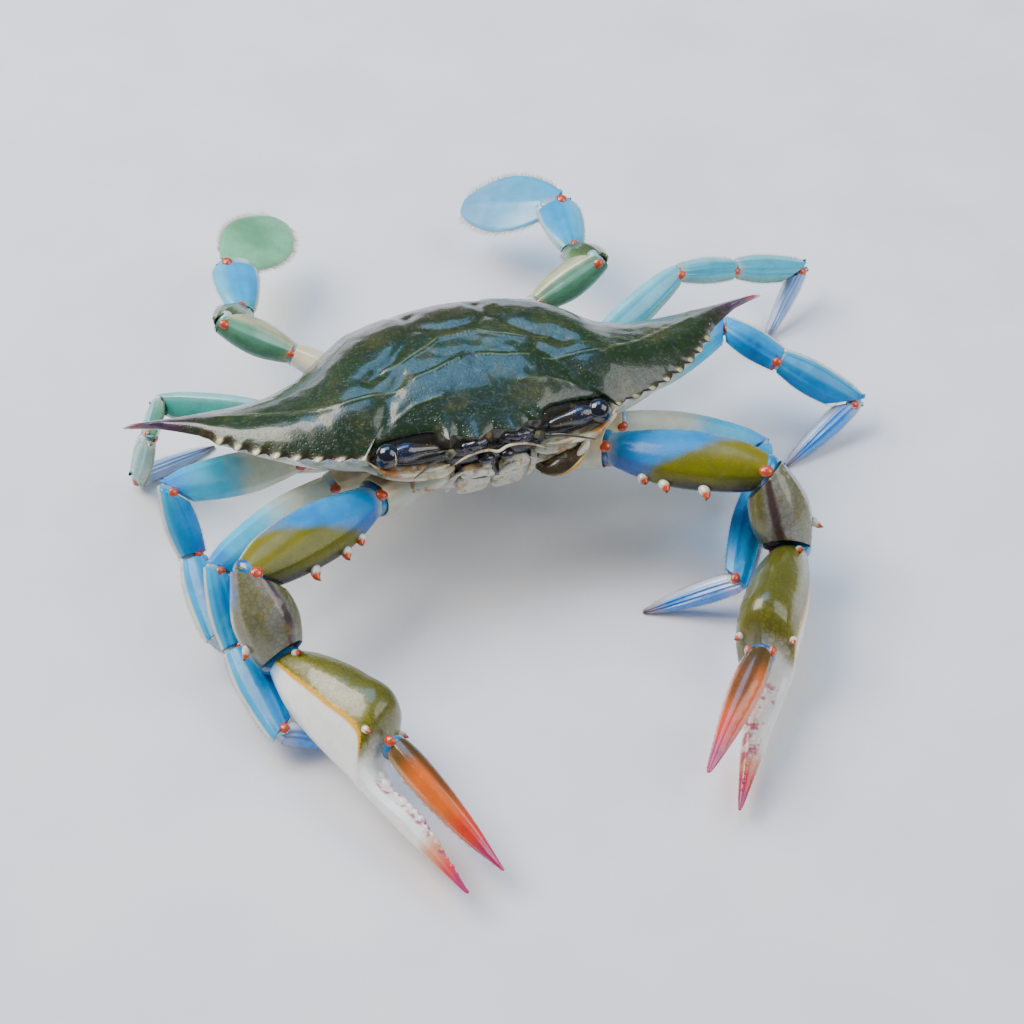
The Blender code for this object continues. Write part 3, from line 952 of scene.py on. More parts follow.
    def granules(self, rng: random.Random) -> bpy.types.Mesh:
        """Small pale domes over the front and middle of the back.

        Args:
            rng: where they fall.

        Returns:
            One mesh of them all, in metres.
        """
        dome = bmesh.new()
        bmesh.ops.create_icosphere(dome, subdivisions=1, radius=1.0)
        room = self.stance.matrix()
        taken: dict[tuple[int, int], list[tuple[float, float]]] = {}
        places, skins = [], []
        for _ in range(self.granule_count * 6):
            x, y = rng.uniform(-self.granule_side, self.granule_side), rng.uniform(*self.granule_rows)
            front = np.interp(abs(x), self.front_edge[:, 0], self.front_edge[:, 1])
            rear = np.interp(abs(x), self.rear_edge[:, 0], self.rear_edge[:, 1])
            if not front + 1.2 < y < rear - 1.0 or (abs(x) > 12 and y < -23.5 and abs(x) < 28):
                continue
            shown = 1 - 0.97 * min(1.0, max(0.0, (y + 5 - 2.5 * noise.noise(Vector((x * 0.1, 0, 0)))) / 9))
            if rng.random() > shown:
                continue
            cell = (int(x // 1.0), int(y // 1.0))
            around = [(cell[0] + i, cell[1] + j) for i in (-1, 0, 1) for j in (-1, 0, 1)]
            near = [spot for key in around for spot in taken.get(key, [])]
            if any((x - a) ** 2 + (y - b) ** 2 < self.granule_gap_squared for a, b in near):
                continue
            taken.setdefault(cell, []).append((x, y))
            foot = self.surface(x, y)
            slope_x, slope_y = self.surface(x + 0.2, y) - foot, self.surface(x, y + 0.2) - foot
            r = rng.uniform(*self.granule_radius)
            stood = stand_on(foot, slope_x.cross(slope_y), Vector((1, 0, 0)), Vector((r, r, r * 0.7)))
            places.append(room @ stood)
            skins.append((rng.random(), abs(x) / self.skin_size[0], y / self.skin_size[1]))
            if len(places) >= self.granule_count:
                break
        return scattered(dome, places, skins)

    def build(self, rng: random.Random) -> None:
        """Adds the shell and its granules."""
        self.add("carapace_shell", self.shell_mesh(), SHELL, ("carapace",))
        self.add("carapace_granules", self.granules(rng), GRANULE)


@dataclass
class Underside(Assembly):
    """The breast plates and the broad flap under them."""

    sternum_half: Point = (20.0, 23.0, 4.7)
    sternum_middle: Point = (0.0, 1.5, -15.1)
    segment_lines: tuple[float, ...] = (-0.62, -0.3, 0.02, 0.34, 0.66)
    flap_y: Stations = ((0, 34.6), (0.16, 34.4), (0.32, 28.5), (0.5, 18.0), (1, -7.0))
    flap_z: Stations = ((0, -9.2), (0.16, -15.2), (0.32, -20.2), (0.5, -21.0), (1, -21.0))
    flap_width: Stations = ((0, 7.0), (0.3, 9.5), (0.62, 12.5), (0.85, 10.5), (1, 5.0))
    flap_seams: tuple[float, ...] = (0.1, 0.24, 0.38, 0.52, 0.66, 0.82)
    flap_thickness: float = 2.0

    def sternum(self) -> bmesh.types.BMesh:
        """The breast plates, with a seam between each pair of legs.

        Returns:
            The mesh in millimetres.
        """
        middle, half = Vector(self.sternum_middle), self.sternum_half

        def place(polar: float, turn: float) -> Placed:
            """A point of the breast plates."""
            along = boxy(math.sin(polar)) * boxy(math.sin(turn))
            across = boxy(math.sin(polar)) * boxy(math.cos(turn)) * (1 - 0.22 * along**2)
            low = boxy(math.cos(polar))
            seam = max(bell(along - line - 0.1 * abs(across) * line, 0.022) for line in self.segment_lines)
            seam *= min(1.0, abs(across) * 2.2)
            wide, deep = half[0] * across * (1 - 0.03 * seam), half[2] * low * (1 - 0.14 * seam)
            return middle + Vector((wide, half[1] * along, deep)), Vector((abs(across), along, low)), seam

        return shaped_ball(96, 72, place)

    def flap(self) -> bmesh.types.BMesh:
        """The abdomen, with a seam between its segments."""

        def place(polar: float, turn: float) -> Placed:
            """A point of the abdomen."""
            share = (1 - math.cos(polar)) / 2
            back, down = (curve_at(line, share + STEP) - curve_at(line, share - STEP)
                          for line in (self.flap_y, self.flap_z))
            slope = Vector((0, back, down))
            out = slope.normalized().cross(Vector((1, 0, 0))) if slope.length > 0 else Vector((0, 0, 1))
            full = math.sin(polar) ** 0.5
            seam = max(bell(share - line, 0.006) for line in self.flap_seams)
            across = curve_at(self.flap_width, share) * full * math.cos(turn) * (1 - 0.05 * seam)
            spot = Vector((across, curve_at(self.flap_y, share), curve_at(self.flap_z, share)))
            thick = self.flap_thickness / 2 * full * boxy(math.sin(turn)) * (1 - 0.35 * seam)
            return spot + out * thick, Vector((share, abs(math.cos(turn)), math.sin(turn))), seam

        return shaped_ball(48, 200, place)

    def build(self) -> None:
        """Adds the breast plates and the flap."""
        self.add("sternum_plates", self.sternum(), UNDERSIDE, ("sternum",))
        self.add("abdomen_flap", self.flap(), UNDERSIDE, ("abdomen",))


@dataclass
class Face(Assembly):
    """Eyes on their stalks, feelers, and the mouth's plates between them."""

    eye_root: Point = (12.2, -28.6, -0.7)
    eye_end: Point = (26.4, -28.7, 0.3)
    cornea: float = 2.75
    collar_radius: float = 2.35
    feeler_root: Point = (8.8, -28.4, -2.3)
    feeler_end: Point = (20.5, -36.5, -1.5)
    # The left half of the ridge over the mouth, from the middle outwards.
    ridge_half: tuple[Point, ...] = ((0, -31.4, -2.7), (2.4, -31.2, -2.0), (5.6, -31.0, -2.3),
                                     (8.8, -30.6, -3.8), (12.6, -30.2, -6.2))
    plate_width: float = 3.8
    plate_thickness: float = 1.2
    plate_place: Point = (4.0, -25.4, -12.4)
    plate_tilt: float = 35.0

    def eye(self, side: Side) -> None:
        """Adds one eye: a short thick stalk, a collar, and a glossy dark ball at its outer end.

        Args:
            side: the crab's own side.
        """
        root, end = side.flip(self.eye_root), side.flip(self.eye_end)
        axis = (end - root).normalized()
        ball = end - axis * self.cornea * 0.9
        stalk = bent_rod([root, root.lerp(ball, 0.5) + Vector((0, 0, 0.25)), ball],
                         ((0, 1.3), (0.35, 1.5), (0.62, 2.25), (0.8, 2.15), (1, 1.9)), 40, 48)
        self.add(f"eyestalk_{side.word}", stalk, STALK, (f"eye_{side.word}",))
        turned = axis.to_track_quat("X", "Z").to_matrix()
        size = Vector((self.cornea, self.cornea, self.cornea * 1.02))
        self.add(f"eyeball_{side.word}", egg(ball, size, 40, 28, turned=turned), EYE)
        ring, turns = self.collar_radius, (-2.2, -1.4, -0.6, 0.2, 1.0, 1.8)
        collar = [ball - axis * 0.9 + turned @ Vector((-0.2, ring * math.cos(a), ring * math.sin(a)))
                  for a in turns]
        self.add(f"eye_collar_{side.word}", bent_rod(collar, ((0, 0.1), (0.5, 0.28), (1, 0.1)), 10, 30),
                 CREAM_EDGE)

    def feeler(self, side: Side) -> None:
        """Adds the long feeler, and the hollow of the short one, painted near-black as shade.

        Args:
            side: the crab's own side.
        """
        root, end = side.flip(self.feeler_root), side.flip(self.feeler_end)
        middle = root.lerp(end, 0.5) + Vector((0, 0, 0.5))
        rod = bent_rod([root, root.lerp(end, 0.25), middle, end],
                       ((0, 1.25), (0.22, 1.15), (0.34, 0.55), (1, 0.3)), 18, 90, beads=34, bead_depth=0.2)
        self.add(f"antenna_long_{side.word}", rod, FEELER, (f"antenna_{side.word}",))
        hollow = egg(side.flip((5.4, -27.8, -2.2)), Vector((4.6, 1.9, 2.2)), 32, 20, 0.8)
        self.add(f"antennule_hollow_{side.word}", hollow, HOLLOW_SHADE)

    def mouth(self) -> None:
        """Adds the wavy pale ridge over the mouth, the hollows under it, painted dark as shade, and the lumps
        between.
        """
        half = self.ridge_half
        points = Side.RIGHT.path(reversed(half[1:])) + Side.LEFT.path(half)
        ridge = bent_rod(points, ((0, 0.2), (0.15, 0.36), (0.5, 0.42), (0.85, 0.36), (1, 0.2)), 14, 130,
                         flat=0.7)
        self.add("mouth_ridge", ridge, CREAM_EDGE)
        for name, place, size, finish in (("mouth_roof", (0, -27.2, -4.4), (11.5, 2.4, 2.0), HOLLOW_SHADE),
                                          ("mouth_hollow", (0, -25.6, -8.6), (9.0, 2.2, 3.8), SHADED_MOUTH)):
            self.add(name, egg(Vector(place), Vector(size), 48, 24, 0.7), finish)
        for side, x, width in ((Side.RIGHT, 1.9, 1.5), (Side.LEFT, 1.7, 1.3)):
            lump = egg(side.flip((x * 1.3, -30.4, -4.6)), Vector((width * 1.3, 1.3, 1.1)), 24, 16)
            self.add(f"mouth_lump_{side.word}", lump, NAVY)

    def plate(self, side: Side) -> None:
        """Adds the outer mouthpart of one side: two plates, a three-jointed palp and a slim outer branch.

        Args:
            side: the crab's own side.
        """
        tilt = Matrix.Rotation(math.radians(self.plate_tilt), 3, "X")
        middle, wide, thick = side.flip(self.plate_place), self.plate_width, self.plate_thickness
        long_plate = egg(middle + tilt @ Vector((0, 0, -2.6)), Vector((wide * 0.98, thick, 4.6)), 36, 32,
                         0.5, tilt)
        self.add(f"mouthpart_long_{side.word}", long_plate, MOUTHPART, (f"maxilliped_{side.word}",))
        short_middle = middle + tilt @ Vector((side.value * 0.35, -0.1, 4.6))
        short_plate = egg(short_middle, Vector((wide * 0.9, thick, 2.5)), 36, 28, 0.55, tilt)
        self.add(f"mouthpart_short_{side.word}", short_plate, MOUTHPART)
        for name, rod in MOUTH_RODS.items():
            path = [middle + tilt @ point for point in side.path(rod.path)]
            self.add(f"{name}_{side.word}", rod.shape(path), rod.finish)

    def rods(self, side: Side, rods: dict[str, Rod]) -> None:
        """Adds rods that lie in the body frame.

        Args:
            side: the side that they are on.
            rods: the rods by name.
        """
        for name, rod in rods.items():
            self.add(f"{name}_{side.word}", rod.shape(side.path(rod.path)), rod.finish)

    def build(self) -> None:
        """Adds everything on the face."""
        self.mouth()
        for side in Side:
            self.eye(side)
            self.feeler(side)
            self.plate(side)
            self.rods(side, FACE_RODS)
        self.rods(Side.LEFT, OPEN_BRANCH)


class Kind(Enum):
    """The pieces of a limb, from the body outwards."""

    BASE = "base"
    MERUS = "merus"
    CARPUS = "carpus"
    PALM = "palm"
    PROPODUS = "propodus"
    DACTYL = "dactyl"
    PADDLE = "paddle"


@dataclass(frozen=True)
class Ridge:
    """A ridge along a piece: where it stands from hind (-1) to fore (1), its height, width and beads.

    faces are the sides that it is on: 1 for the broad face and -1 for the underside.
    """

    fore: float
    height: float
    width: float = 0.08
    beads: float = 0.0
    faces: tuple[int, ...] = (1, -1)


@dataclass(frozen=True)
class Outline:
    """A piece about its axis, as (share of length, mm) stations.

    fore and hind are how far its edges stand off the axis, and thick is half its thickness. over is how far
    its ends reach past the joints. keel sharpens its edges, in mm.
    """

    fore: Stations
    hind: Stations
    thick: Stations
    over: tuple[float, float]
    round_end: float = 0.5
    keel: float = 0.0
    ridges: tuple[Ridge, ...] = ()

    def share(self, x: float, length: float) -> float:
        """The share of the whole piece that a place x mm past its near joint stands at."""
        return (x + self.over[0]) / (length + sum(self.over))


def alike(edge: Stations, thick: Stations, over: tuple[float, float], round_end: float = 0.5,
          keel: float = 0.0, ridges: tuple[Ridge, ...] = ()) -> Outline:
    """An outline whose fore and hind edges are alike. The sizes are those that Outline takes."""
    return Outline(edge, edge, thick, over, round_end, keel, ridges)


@dataclass(frozen=True)
class Reach:
    """How one side's limb is held: heading and rise of each piece, and the way its broad faces look."""

    turns: tuple[tuple[float, float | None], ...]
    face: Point


@dataclass(frozen=True)
class LimbPlan:
    """The sizes of one pair of limbs. Width scales the sizes across the pieces."""

    name: str
    width: float
    kinds: tuple[Kind, ...]
    hip: Point
    root: Point
    lengths: tuple[float, ...]
    left: Reach
    right: Reach
    finishes: dict[Kind, Finish]


# Length of the fixed finger beyond the moving one's joint.
FINGER = 31.5
# Middle, half width and half thickness of the skin at that joint.
HINGE = (0.2, 3.6, 4.2)
# Each spine of the palm is (place along it, turn, lean).
PALM_SPINES = ((4.5, 0.9, (2.0, 1.6, 1.6)), (31.5, 0.35, (2.0, 0.7, 0.4)), (32, 2.5, (2.0, -0.8, 0.5)))
BRISTLE_ROWS = 2
# How high over the floor bristles stay.
FLOOR_GAP = 0.6

OUTLINES: dict[str, Outline] = {
    "claw_base": alike(((0, 5.0), (1, 5.2)), ((0, 4.6), (1, 4.8)), (0, 3), ridges=(Ridge(0.1, 0.4, 0.15),)),
    "claw_merus": Outline(
        ((0, 4.6), (0.35, 6.8), (0.8, 6.4), (1, 5.4)), ((0, 4.2), (0.4, 6.6), (0.8, 6.8), (1, 5.2)),
        ((0, 4.4), (0.5, 5.2), (1, 4.8)), (3, 3), keel=0.25,
        ridges=(Ridge(0.78, 0.35, 0.10, 22), Ridge(-0.86, 0.3, 0.08, 30))),
    "claw_carpus": Outline(
        ((0, 5.6), (0.5, 7.6), (1, 6.6)), ((0, 5.0), (0.5, 6.9), (1, 5.8)),
        ((0, 5.0), (0.5, 6.4), (1, 5.4)), (4, 3), 0.55,
        ridges=(Ridge(0.62, 0.4, 0.08, 14, (1,)), Ridge(-0.45, 0.4, 0.09, 14, (1,)))),
    "claw_palm": Outline(
        ((0, 4.8), (0.12, 7.8), (0.3, 9.3), (0.458, 7.6), (0.52, -4.7), (0.74, -7.8), (1, -13.2)),
        ((0, 4.8), (0.14, 8.2), (0.5, 10.8), (0.75, 13.4), (1, 15.2)),
        ((0, 4.8), (0.2, 6.9), (0.45, 6.7), (0.56, 4.6), (0.75, 3.2), (1, 0.9)), (3, 1),
        ridges=(Ridge(0.66, 0.35, 0.05, 60), Ridge(0.16, 0.3, 0.05, 66), Ridge(-0.55, 0.18, 0.05, 66))),
    "claw_dactyl": Outline(
        ((0, 4.4), (0.2, 3.9), (0.7, 2.0), (1, 0.2)), ((0, 3.2), (0.25, 3.2), (0.7, 2.7), (1, 1.4)),
        ((0, 3.8), (0.3, 3.5), (1, 0.9)), (2, 1),
        ridges=(Ridge(0.35, 0.25, 0.12, 30), Ridge(-0.4, -0.25, 0.12))),
    "base": alike(((0, 3.8), (1, 3.6)), ((0, 3.2), (1, 2.8)), (0, 2), ridges=(Ridge(0.0, 0.3, 0.2),)),
    "merus": Outline(
        ((0, 2.9), (0.4, 4.5), (0.85, 3.9), (1, 3.2)), ((0, 2.9), (0.4, 4.5), (0.85, 4.1), (1, 3.2)),
        ((0, 2.0), (0.5, 2.4), (1, 2.2)), (2, 2.5), 0.35, 0.25,
        (Ridge(0.74, 0.22, 0.10), Ridge(-0.74, 0.22, 0.10))),
    "carpus": Outline(
        ((0, 2.6), (0.5, 3.4), (1, 3.2)), ((0, 2.8), (0.5, 3.6), (1, 3.2)),
        ((0, 2.1), (0.5, 2.2), (1, 2.0)), (2, 2),
        0.3, 0.25, (Ridge(0.45, 0.25, 0.13), Ridge(-0.1, -0.2, 0.2), Ridge(-0.6, 0.22, 0.12))),
    "propodus": Outline(
        ((0, 3.1), (0.4, 3.9), (1, 3.3)), ((0, 3.1), (0.4, 3.8), (1, 3.2)),
        ((0, 1.9), (0.5, 1.9), (1, 1.7)), (2, 2),
        0.3, 0.3, (Ridge(0.6, 0.25, 0.1), Ridge(0.0, -0.25, 0.3), Ridge(-0.7, 0.28, 0.08))),
    "dactyl": alike(
        ((0, 2.6), (0.35, 2.4), (0.75, 1.6), (1, 0.9)), ((0, 1.6), (0.5, 1.4), (1, 0.9)), (2, 0.8), 0.4, 0.2,
        (Ridge(0.0, 0.4, 0.13), Ridge(0.45, -0.35, 0.15), Ridge(-0.45, -0.35, 0.15))),
    "swimmer_base": alike(((0, 3.6), (1, 3.4)), ((0, 3.2), (1, 3.0)), (0, 2), ridges=(Ridge(0.0, 0.3, 0.2),)),
    "swimmer_merus": alike(
        ((0, 3.0), (0.5, 4.4), (1, 3.8)), ((0, 2.6), (0.5, 2.8), (1, 2.4)), (2, 2), 0.35, 0.25,
        (Ridge(0.3, 0.22, 0.14), Ridge(-0.3, -0.2, 0.18))),
    "swimmer_carpus": alike(
        ((0, 3.2), (0.5, 4.2), (1, 3.4)), ((0, 2.2), (0.5, 2.3), (1, 2.0)), (2, 2), 0.35, 0.25,
        (Ridge(0.4, 0.25, 0.13), Ridge(-0.35, 0.2, 0.13))),
    "swimmer_propodus": alike(
        ((0, 3.2), (0.5, 4.8), (0.85, 5.4), (1, 4.9)), ((0, 1.7), (0.5, 1.5), (1, 1.2)), (2, 2), 0.35, 0.25,
        (Ridge(0.05, 0.2, 0.1), Ridge(0.5, -0.15, 0.2), Ridge(-0.5, -0.15, 0.2))),
    "swimmer_paddle": Outline(
        ((0, 5.0), (0.3, 7.4), (0.6, 8.2), (0.85, 6.8), (1, 4.8)),
        ((0, 5.0), (0.3, 7.2), (0.6, 7.8), (0.85, 6.4), (1, 4.6)), ((0, 1.1), (0.5, 0.8), (1, 0.5)),
        (2, 1), keel=0.25,
        ridges=(Ridge(0.0, 0.12, 0.09), Ridge(0.9, 0.1, 0.05), Ridge(-0.9, 0.1, 0.05))),
}


@dataclass
class Limb(Assembly):
    """One limb: its plates, the balls and skins of its joints, its spines, teeth and fringes."""

    plan: LimbPlan
    side: Side
    tip_height: float = 0.3
    joint_gap: float = 0.5
    pieces_across: int = 56
    pieces_along: int = 64
    # Each spine of the arm is (place along it, how far it reaches out).
    spine_places: Stations = ((9.5, 2.0), (14.5, 2.6), (23.5, 3.2))
    tooth_size: float = 1.25
    # Where a finger's teeth start and how many there are, on the fixed and the moving finger.
    fixed_teeth: tuple[float, int] = (0.54, 15)
    moving_teeth: tuple[float, int] = (0.14, 14)
    teeth_end: float = 0.95

    @property
    def reach(self) -> Reach:
        """How this side's limb is held."""
        return self.plan.left if self.side is Side.LEFT else self.plan.right

    @property
    def claw(self) -> bool:
        """Whether this limb is a claw."""
        return self.plan.name == "claw"

    def direction(self, heading: float, rise: float) -> Vector:
        """Unit vector of a heading from straight out, 90 being forward, and a rise from level.

        Args:
            heading: the heading in degrees.
            rise: the rise in degrees.

        Returns:
            The direction.
        """
        turn, lift = math.radians(heading), math.radians(rise)
        level = math.cos(lift)
        return Vector((self.side.value * math.cos(turn) * level, -math.sin(turn) * level, math.sin(lift)))

    def joints(self) -> list[Vector]:
        """The joints from the hip to the tip, in the room.

        Returns:
            The points.
        """
        body = self.stance.matrix()
        points = [body @ self.side.flip(self.plan.hip), body @ self.side.flip(self.plan.root)]
        for length, (heading, rise) in zip(self.plan.lengths, self.reach.turns):
            if rise is None:
                rise = -math.degrees(math.asin((points[-1].z - self.tip_height) / length))
            points.append(points[-1] + self.direction(heading, rise) * length)
        return points

    def outline(self, kind: Kind) -> Outline:
        """The outline of one of this limb's pieces."""
        return OUTLINES.get(f"{self.plan.name}_{kind.value}") or OUTLINES[kind.value]

    def looking(self, kind: Kind) -> Vector:
        """The way that a piece's broad face looks.

        Args:
            kind: the piece.

        Returns:
            The direction.
        """
        if self.claw and kind in (Kind.BASE, Kind.MERUS):
            return Vector((0, -0.3, 1))
        if self.claw and kind is Kind.CARPUS:
            return Vector((self.side.value * 0.3, -0.6, 0.7))
        return Vector(self.reach.face)

    def piece_frame(self, kind: Kind, start: Vector, end: Vector) -> Matrix:
        """Places a piece: X runs to its next joint, and Y is the way that its broad face looks.

        Args:
            kind: the piece.
            start: its own joint.
            end: the next joint.

        Returns:
            The piece's frame to the room.
        """
        face = self.looking(kind)
        along = (end - start).normalized()
        out = (face - along * face.dot(along)).normalized()
        return Matrix.Translation(start) @ Matrix((along, out, along.cross(out))).transposed().to_4x4()

    def point(self, outline: Outline, length: float, share: float, turn: float, lift: float = 0.0) -> Placed:
        """A point of a piece's surface in its own frame.

        Args:
            outline: the piece's outline.
            length: from joint to joint.
            share: 0 at the near end, 1 at the far end.
            turn: 0 on the broad face, a quarter turn on the fore edge.
            lift: how far above the surface, in mm.

        Returns:
            The point, its skin coordinates and its crest.
        """
        before, after = outline.over
        x = share * (length + before + after) - before
        polar = math.acos(max(-1.0, min(1.0, 1 - 2 * share)))
        full = math.sin(polar) ** outline.round_end if 0 < share < 1 else 0.0
        fore, hind = curve_at(outline.fore, x / length), curve_at(outline.hind, x / length)
        middle, half = (fore - hind) / 2, (fore + hind) / 2
        across, facing = math.sin(turn), math.cos(turn)
        ends = min(1.0, 4 * full**3)
        edge = bell(facing, 0.3)
        wide = half + outline.keel * edge * ends + lift * abs(across)
        relief, crest = 0.0, edge * min(1.0, outline.keel * 4)
        for ridge in outline.ridges:
            if math.copysign(1, facing) not in ridge.faces:
                continue
            hump = bell(across - ridge.fore, ridge.width)
            if ridge.beads:
                hump *= 0.72 + 0.28 * math.cos(2 * math.pi * ridge.beads * share)
            relief += ridge.height * hump * ends * min(1.0, abs(facing) * 2)
            if ridge.height > 0:
                crest = max(crest, hump * (1.0 if ridge.beads else 0.55))
        thick = curve_at(outline.thick, x / length) * (1 - 0.18 * edge)
        y = thick * full * facing + math.copysign(relief, facing) + lift * facing
        spot = Vector((x, y, self.side.value * (middle + wide * full * across)))
        spot.y *= self.plan.width
        spot.z *= self.plan.width
        return spot, Vector((x / length, across, facing)), crest

    def plate(self, kind: Kind, i: int, points: list[Vector], frame_: Matrix) -> bmesh.types.BMesh:
        """Makes one plate, cut back from its joints, with a sunk rim where it was cut.

        Args:
            kind: which piece.
            i: its place in the limb.
            points: the limb's joints.
            frame_: the piece's frame.

        Returns:
            The mesh in its own frame, in millimetres.
        """
        outline, length = self.outline(kind), (points[i + 1] - points[i]).length
        rows = self.pieces_along
        if kind is Kind.PALM:
            length, rows = length + FINGER, rows * 2

        def place(polar: float, turn: float) -> Placed:
            """A point of the piece's plate."""
            return self.point(outline, length, (1 - math.cos(polar)) / 2, math.pi / 2 - turn)

        bm = shaped_ball(self.pieces_across, rows, place)
        inverse = frame_.inverted()
        for at, keeps in ((i, -1), (i + 1, 1)):
            if not 0 < at < len(points) - 1 or (kind is Kind.PALM and keeps > 0):
                continue
            before, after = ((points[n + 1] - points[n]).normalized() for n in (at - 1, at))
            normal = (before + after).normalized() * keeps
            self.socket(bm, inverse @ (points[at] - normal * self.joint_gap), inverse.to_3x3() @ normal)
        if kind is Kind.DACTYL and not self.claw:
            self.socket(bm, inverse @ Vector((0, 0, 0)), inverse.to_3x3() @ Vector((0, 0, -1)), sunk=0.0)
        if kind is Kind.PALM:
            self.finger_teeth(bm, outline, length, -1)
        if kind is Kind.DACTYL and self.claw:
            self.finger_teeth(bm, outline, length, 1)
        return bm

    @staticmethod
    def socket(bm: bmesh.types.BMesh, place: Vector, normal: Vector, sunk: float = 0.9) -> None:
        """Cuts a plate off at a plane and sinks the cut behind a rounded rim.

        Args:
            bm: the plate.
            place: a point of the plane.
            normal: the way that is cut off.
            sunk: depth of the sunk part, or 0 for a flat cut.
        """
        geometry = bm.verts[:] + bm.edges[:] + bm.faces[:]
        bmesh.ops.bisect_plane(bm, geom=geometry, dist=1e-5, plane_co=place, plane_no=normal,
                               clear_outer=True)
        made = bmesh.ops.holes_fill(bm, edges=[edge for edge in bm.edges if edge.is_boundary],
                                    sides=0)["faces"]
        if not sunk or not made:
            return
        for thickness, depth in ((0.14, -0.12), (0.22, 0.1), (0.3, sunk)):
            bmesh.ops.inset_region(bm, faces=made, thickness=thickness, use_even_offset=False)
            verts = {vert for face in made for vert in face.verts}
            bmesh.ops.translate(bm, verts=list(verts), vec=normal.normalized() * -depth)

    def finger_teeth(self, bm: bmesh.types.BMesh, outline: Outline, length: float, edge: int) -> None:
        """Adds a row of blunt teeth on a finger's biting edge.

        Args:
            bm: the finger.
            outline: its outline.
            length: from joint to tip.
            edge: -1 for the fixed finger, whose fore edge bites, and 1 for the moving one's hind edge.
        """
        first, count = self.fixed_teeth if edge < 0 else self.moving_teeth
        for n in range(count):
            share = first + (self.teeth_end - first) * (n + 0.5) / count
            taper = 1.5 - 1.1 * n / count if edge < 0 else 1.1 - 0.6 * n / count
            size = self.tooth_size * (1.0 if n % 3 == 1 else 0.7) * taper
            spot, skin, _ = self.point(outline, length, share, -edge * math.pi / 2)
            spot.z += self.side.value * edge * size * 0.5
            tooth = egg(spot, Vector((size * 1.3, size * 0.9, size * 0.95)), 14, 10)
            layer, crest = tooth.verts.layers.float_vector["skin"], tooth.verts.layers.float["crest"]
            for vert in tooth.verts:
                vert[layer], vert[crest] = skin, 1.0
            join(bm, tooth)

    def knobs(self, kind: Kind, i: int, points: list[Vector]) -> None:
        """Adds the balls that a joint turns on, and the soft skin between its plates.

        Args:
            kind: the piece on the near side of the joint.
            i: that piece's place in the limb.
            points: the limb's joints.
        """
        joint, turned = points[i + 1], self.piece_frame(kind, points[i], points[i + 1]).to_3x3()
        middle, half, thick = HINGE
        if kind is not Kind.PALM:
            outline = self.outline(kind)
            lines = (outline.fore, outline.hind, outline.thick)
            fore, hind, thick = (line[-1][1] * self.plan.width for line in lines)
            middle, half = (fore - hind) / 2, (fore + hind) / 2
        skin = egg(joint + turned @ Vector((0, 0, self.side.value * middle)),
                   Vector((half * 0.45, thick * 0.72, half * 0.78)), 32, 24, 0.9, turned)
        name = f"{self.plan.name}_{kind.value}"
        self.add(f"{name}_skin_{self.side.word}", skin, JOINT_SKIN[self.plan.name],
                 to_room=Matrix.Identity(4))
        size = 0.6 + 0.16 * half
        across = self.side.value * (middle + half * 0.3)
        balls = [egg(joint + turned @ Vector((-0.1, face * thick * 0.62, across)),
                     Vector((size * 1.15, size * 0.75, size)), 18, 12, turned=turned) for face in (1, -1)]
        join(*balls)
        self.add(f"{name}_condyles_{self.side.word}", balls[0], CONDYLE, to_room=Matrix.Identity(4))

    def spine(self, foot: Vector, lean: Point, width: float) -> bmesh.types.BMesh:
        """A curved sharp spine.

        Args:
            foot: where it stands.
            lean: from its foot to its tip, on the left side.
            width: half its width at the foot.

        Returns:
            Its mesh, in the plate's frame.
        """
        tip = foot + Vector((*lean[:2], self.side.value * lean[2]))
        way = tip - foot
        middle = foot.lerp(tip, 0.5) + Vector((way.length * 0.12, 0, 0))
        radius = ((0, width), (0.4, width * 0.95), (0.75, width * 0.55), (1, 0.12))
        return bent_rod([foot - way * 0.25, foot, middle, tip], radius, 16, 24, broad=Vector((0, 1, 0.1)))

    def spines(self, kind: Kind, outline: Outline, length: float) -> bmesh.types.BMesh | None:
        """The spines of a claw's plate, in its own frame.

        Args:
            kind: which piece.
            outline: its outline.
            length: from joint to joint.

        Returns:
            One mesh of them, or none.
        """
        placed: dict[Kind, list[tuple[float, float, Point, float]]] = {
            Kind.MERUS: [(x, math.pi / 2, (1.3, 0.5, reach), 1.35) for x, reach in self.spine_places],
            Kind.CARPUS: [(length * 0.72, -0.9, (2.0, 1.6, -1.2), 1.0)],
            Kind.PALM: [(x, turn, lean, 0.9) for x, turn, lean in PALM_SPINES],
        }
        made = [self.spine(self.point(outline, length, outline.share(x, length), turn)[0], lean, width)
                for x, turn, lean, width in placed.get(kind, [])]
        for other in made[1:]:
            join(made[0], other)
        return made[0] if made else None

    @staticmethod
    def bristle() -> bmesh.types.BMesh:
        """A thin bristle one unit long that bends towards X.

        Returns:
            The mesh.
        """
        made = bmesh.new()
        bmesh.ops.create_cone(made, cap_ends=True, segments=3, radius1=1.0, radius2=0.15, depth=1.0,
                              matrix=Matrix.Translation((0, 0, 0.5)))
        upright = [edge for edge in made.edges if abs(edge.verts[0].co.z - edge.verts[1].co.z) > 0.5]
        bmesh.ops.subdivide_edges(made, edges=upright, cuts=1)
        for vert in made.verts:
            vert.co.x += 0.9 * vert.co.z**2
        return made

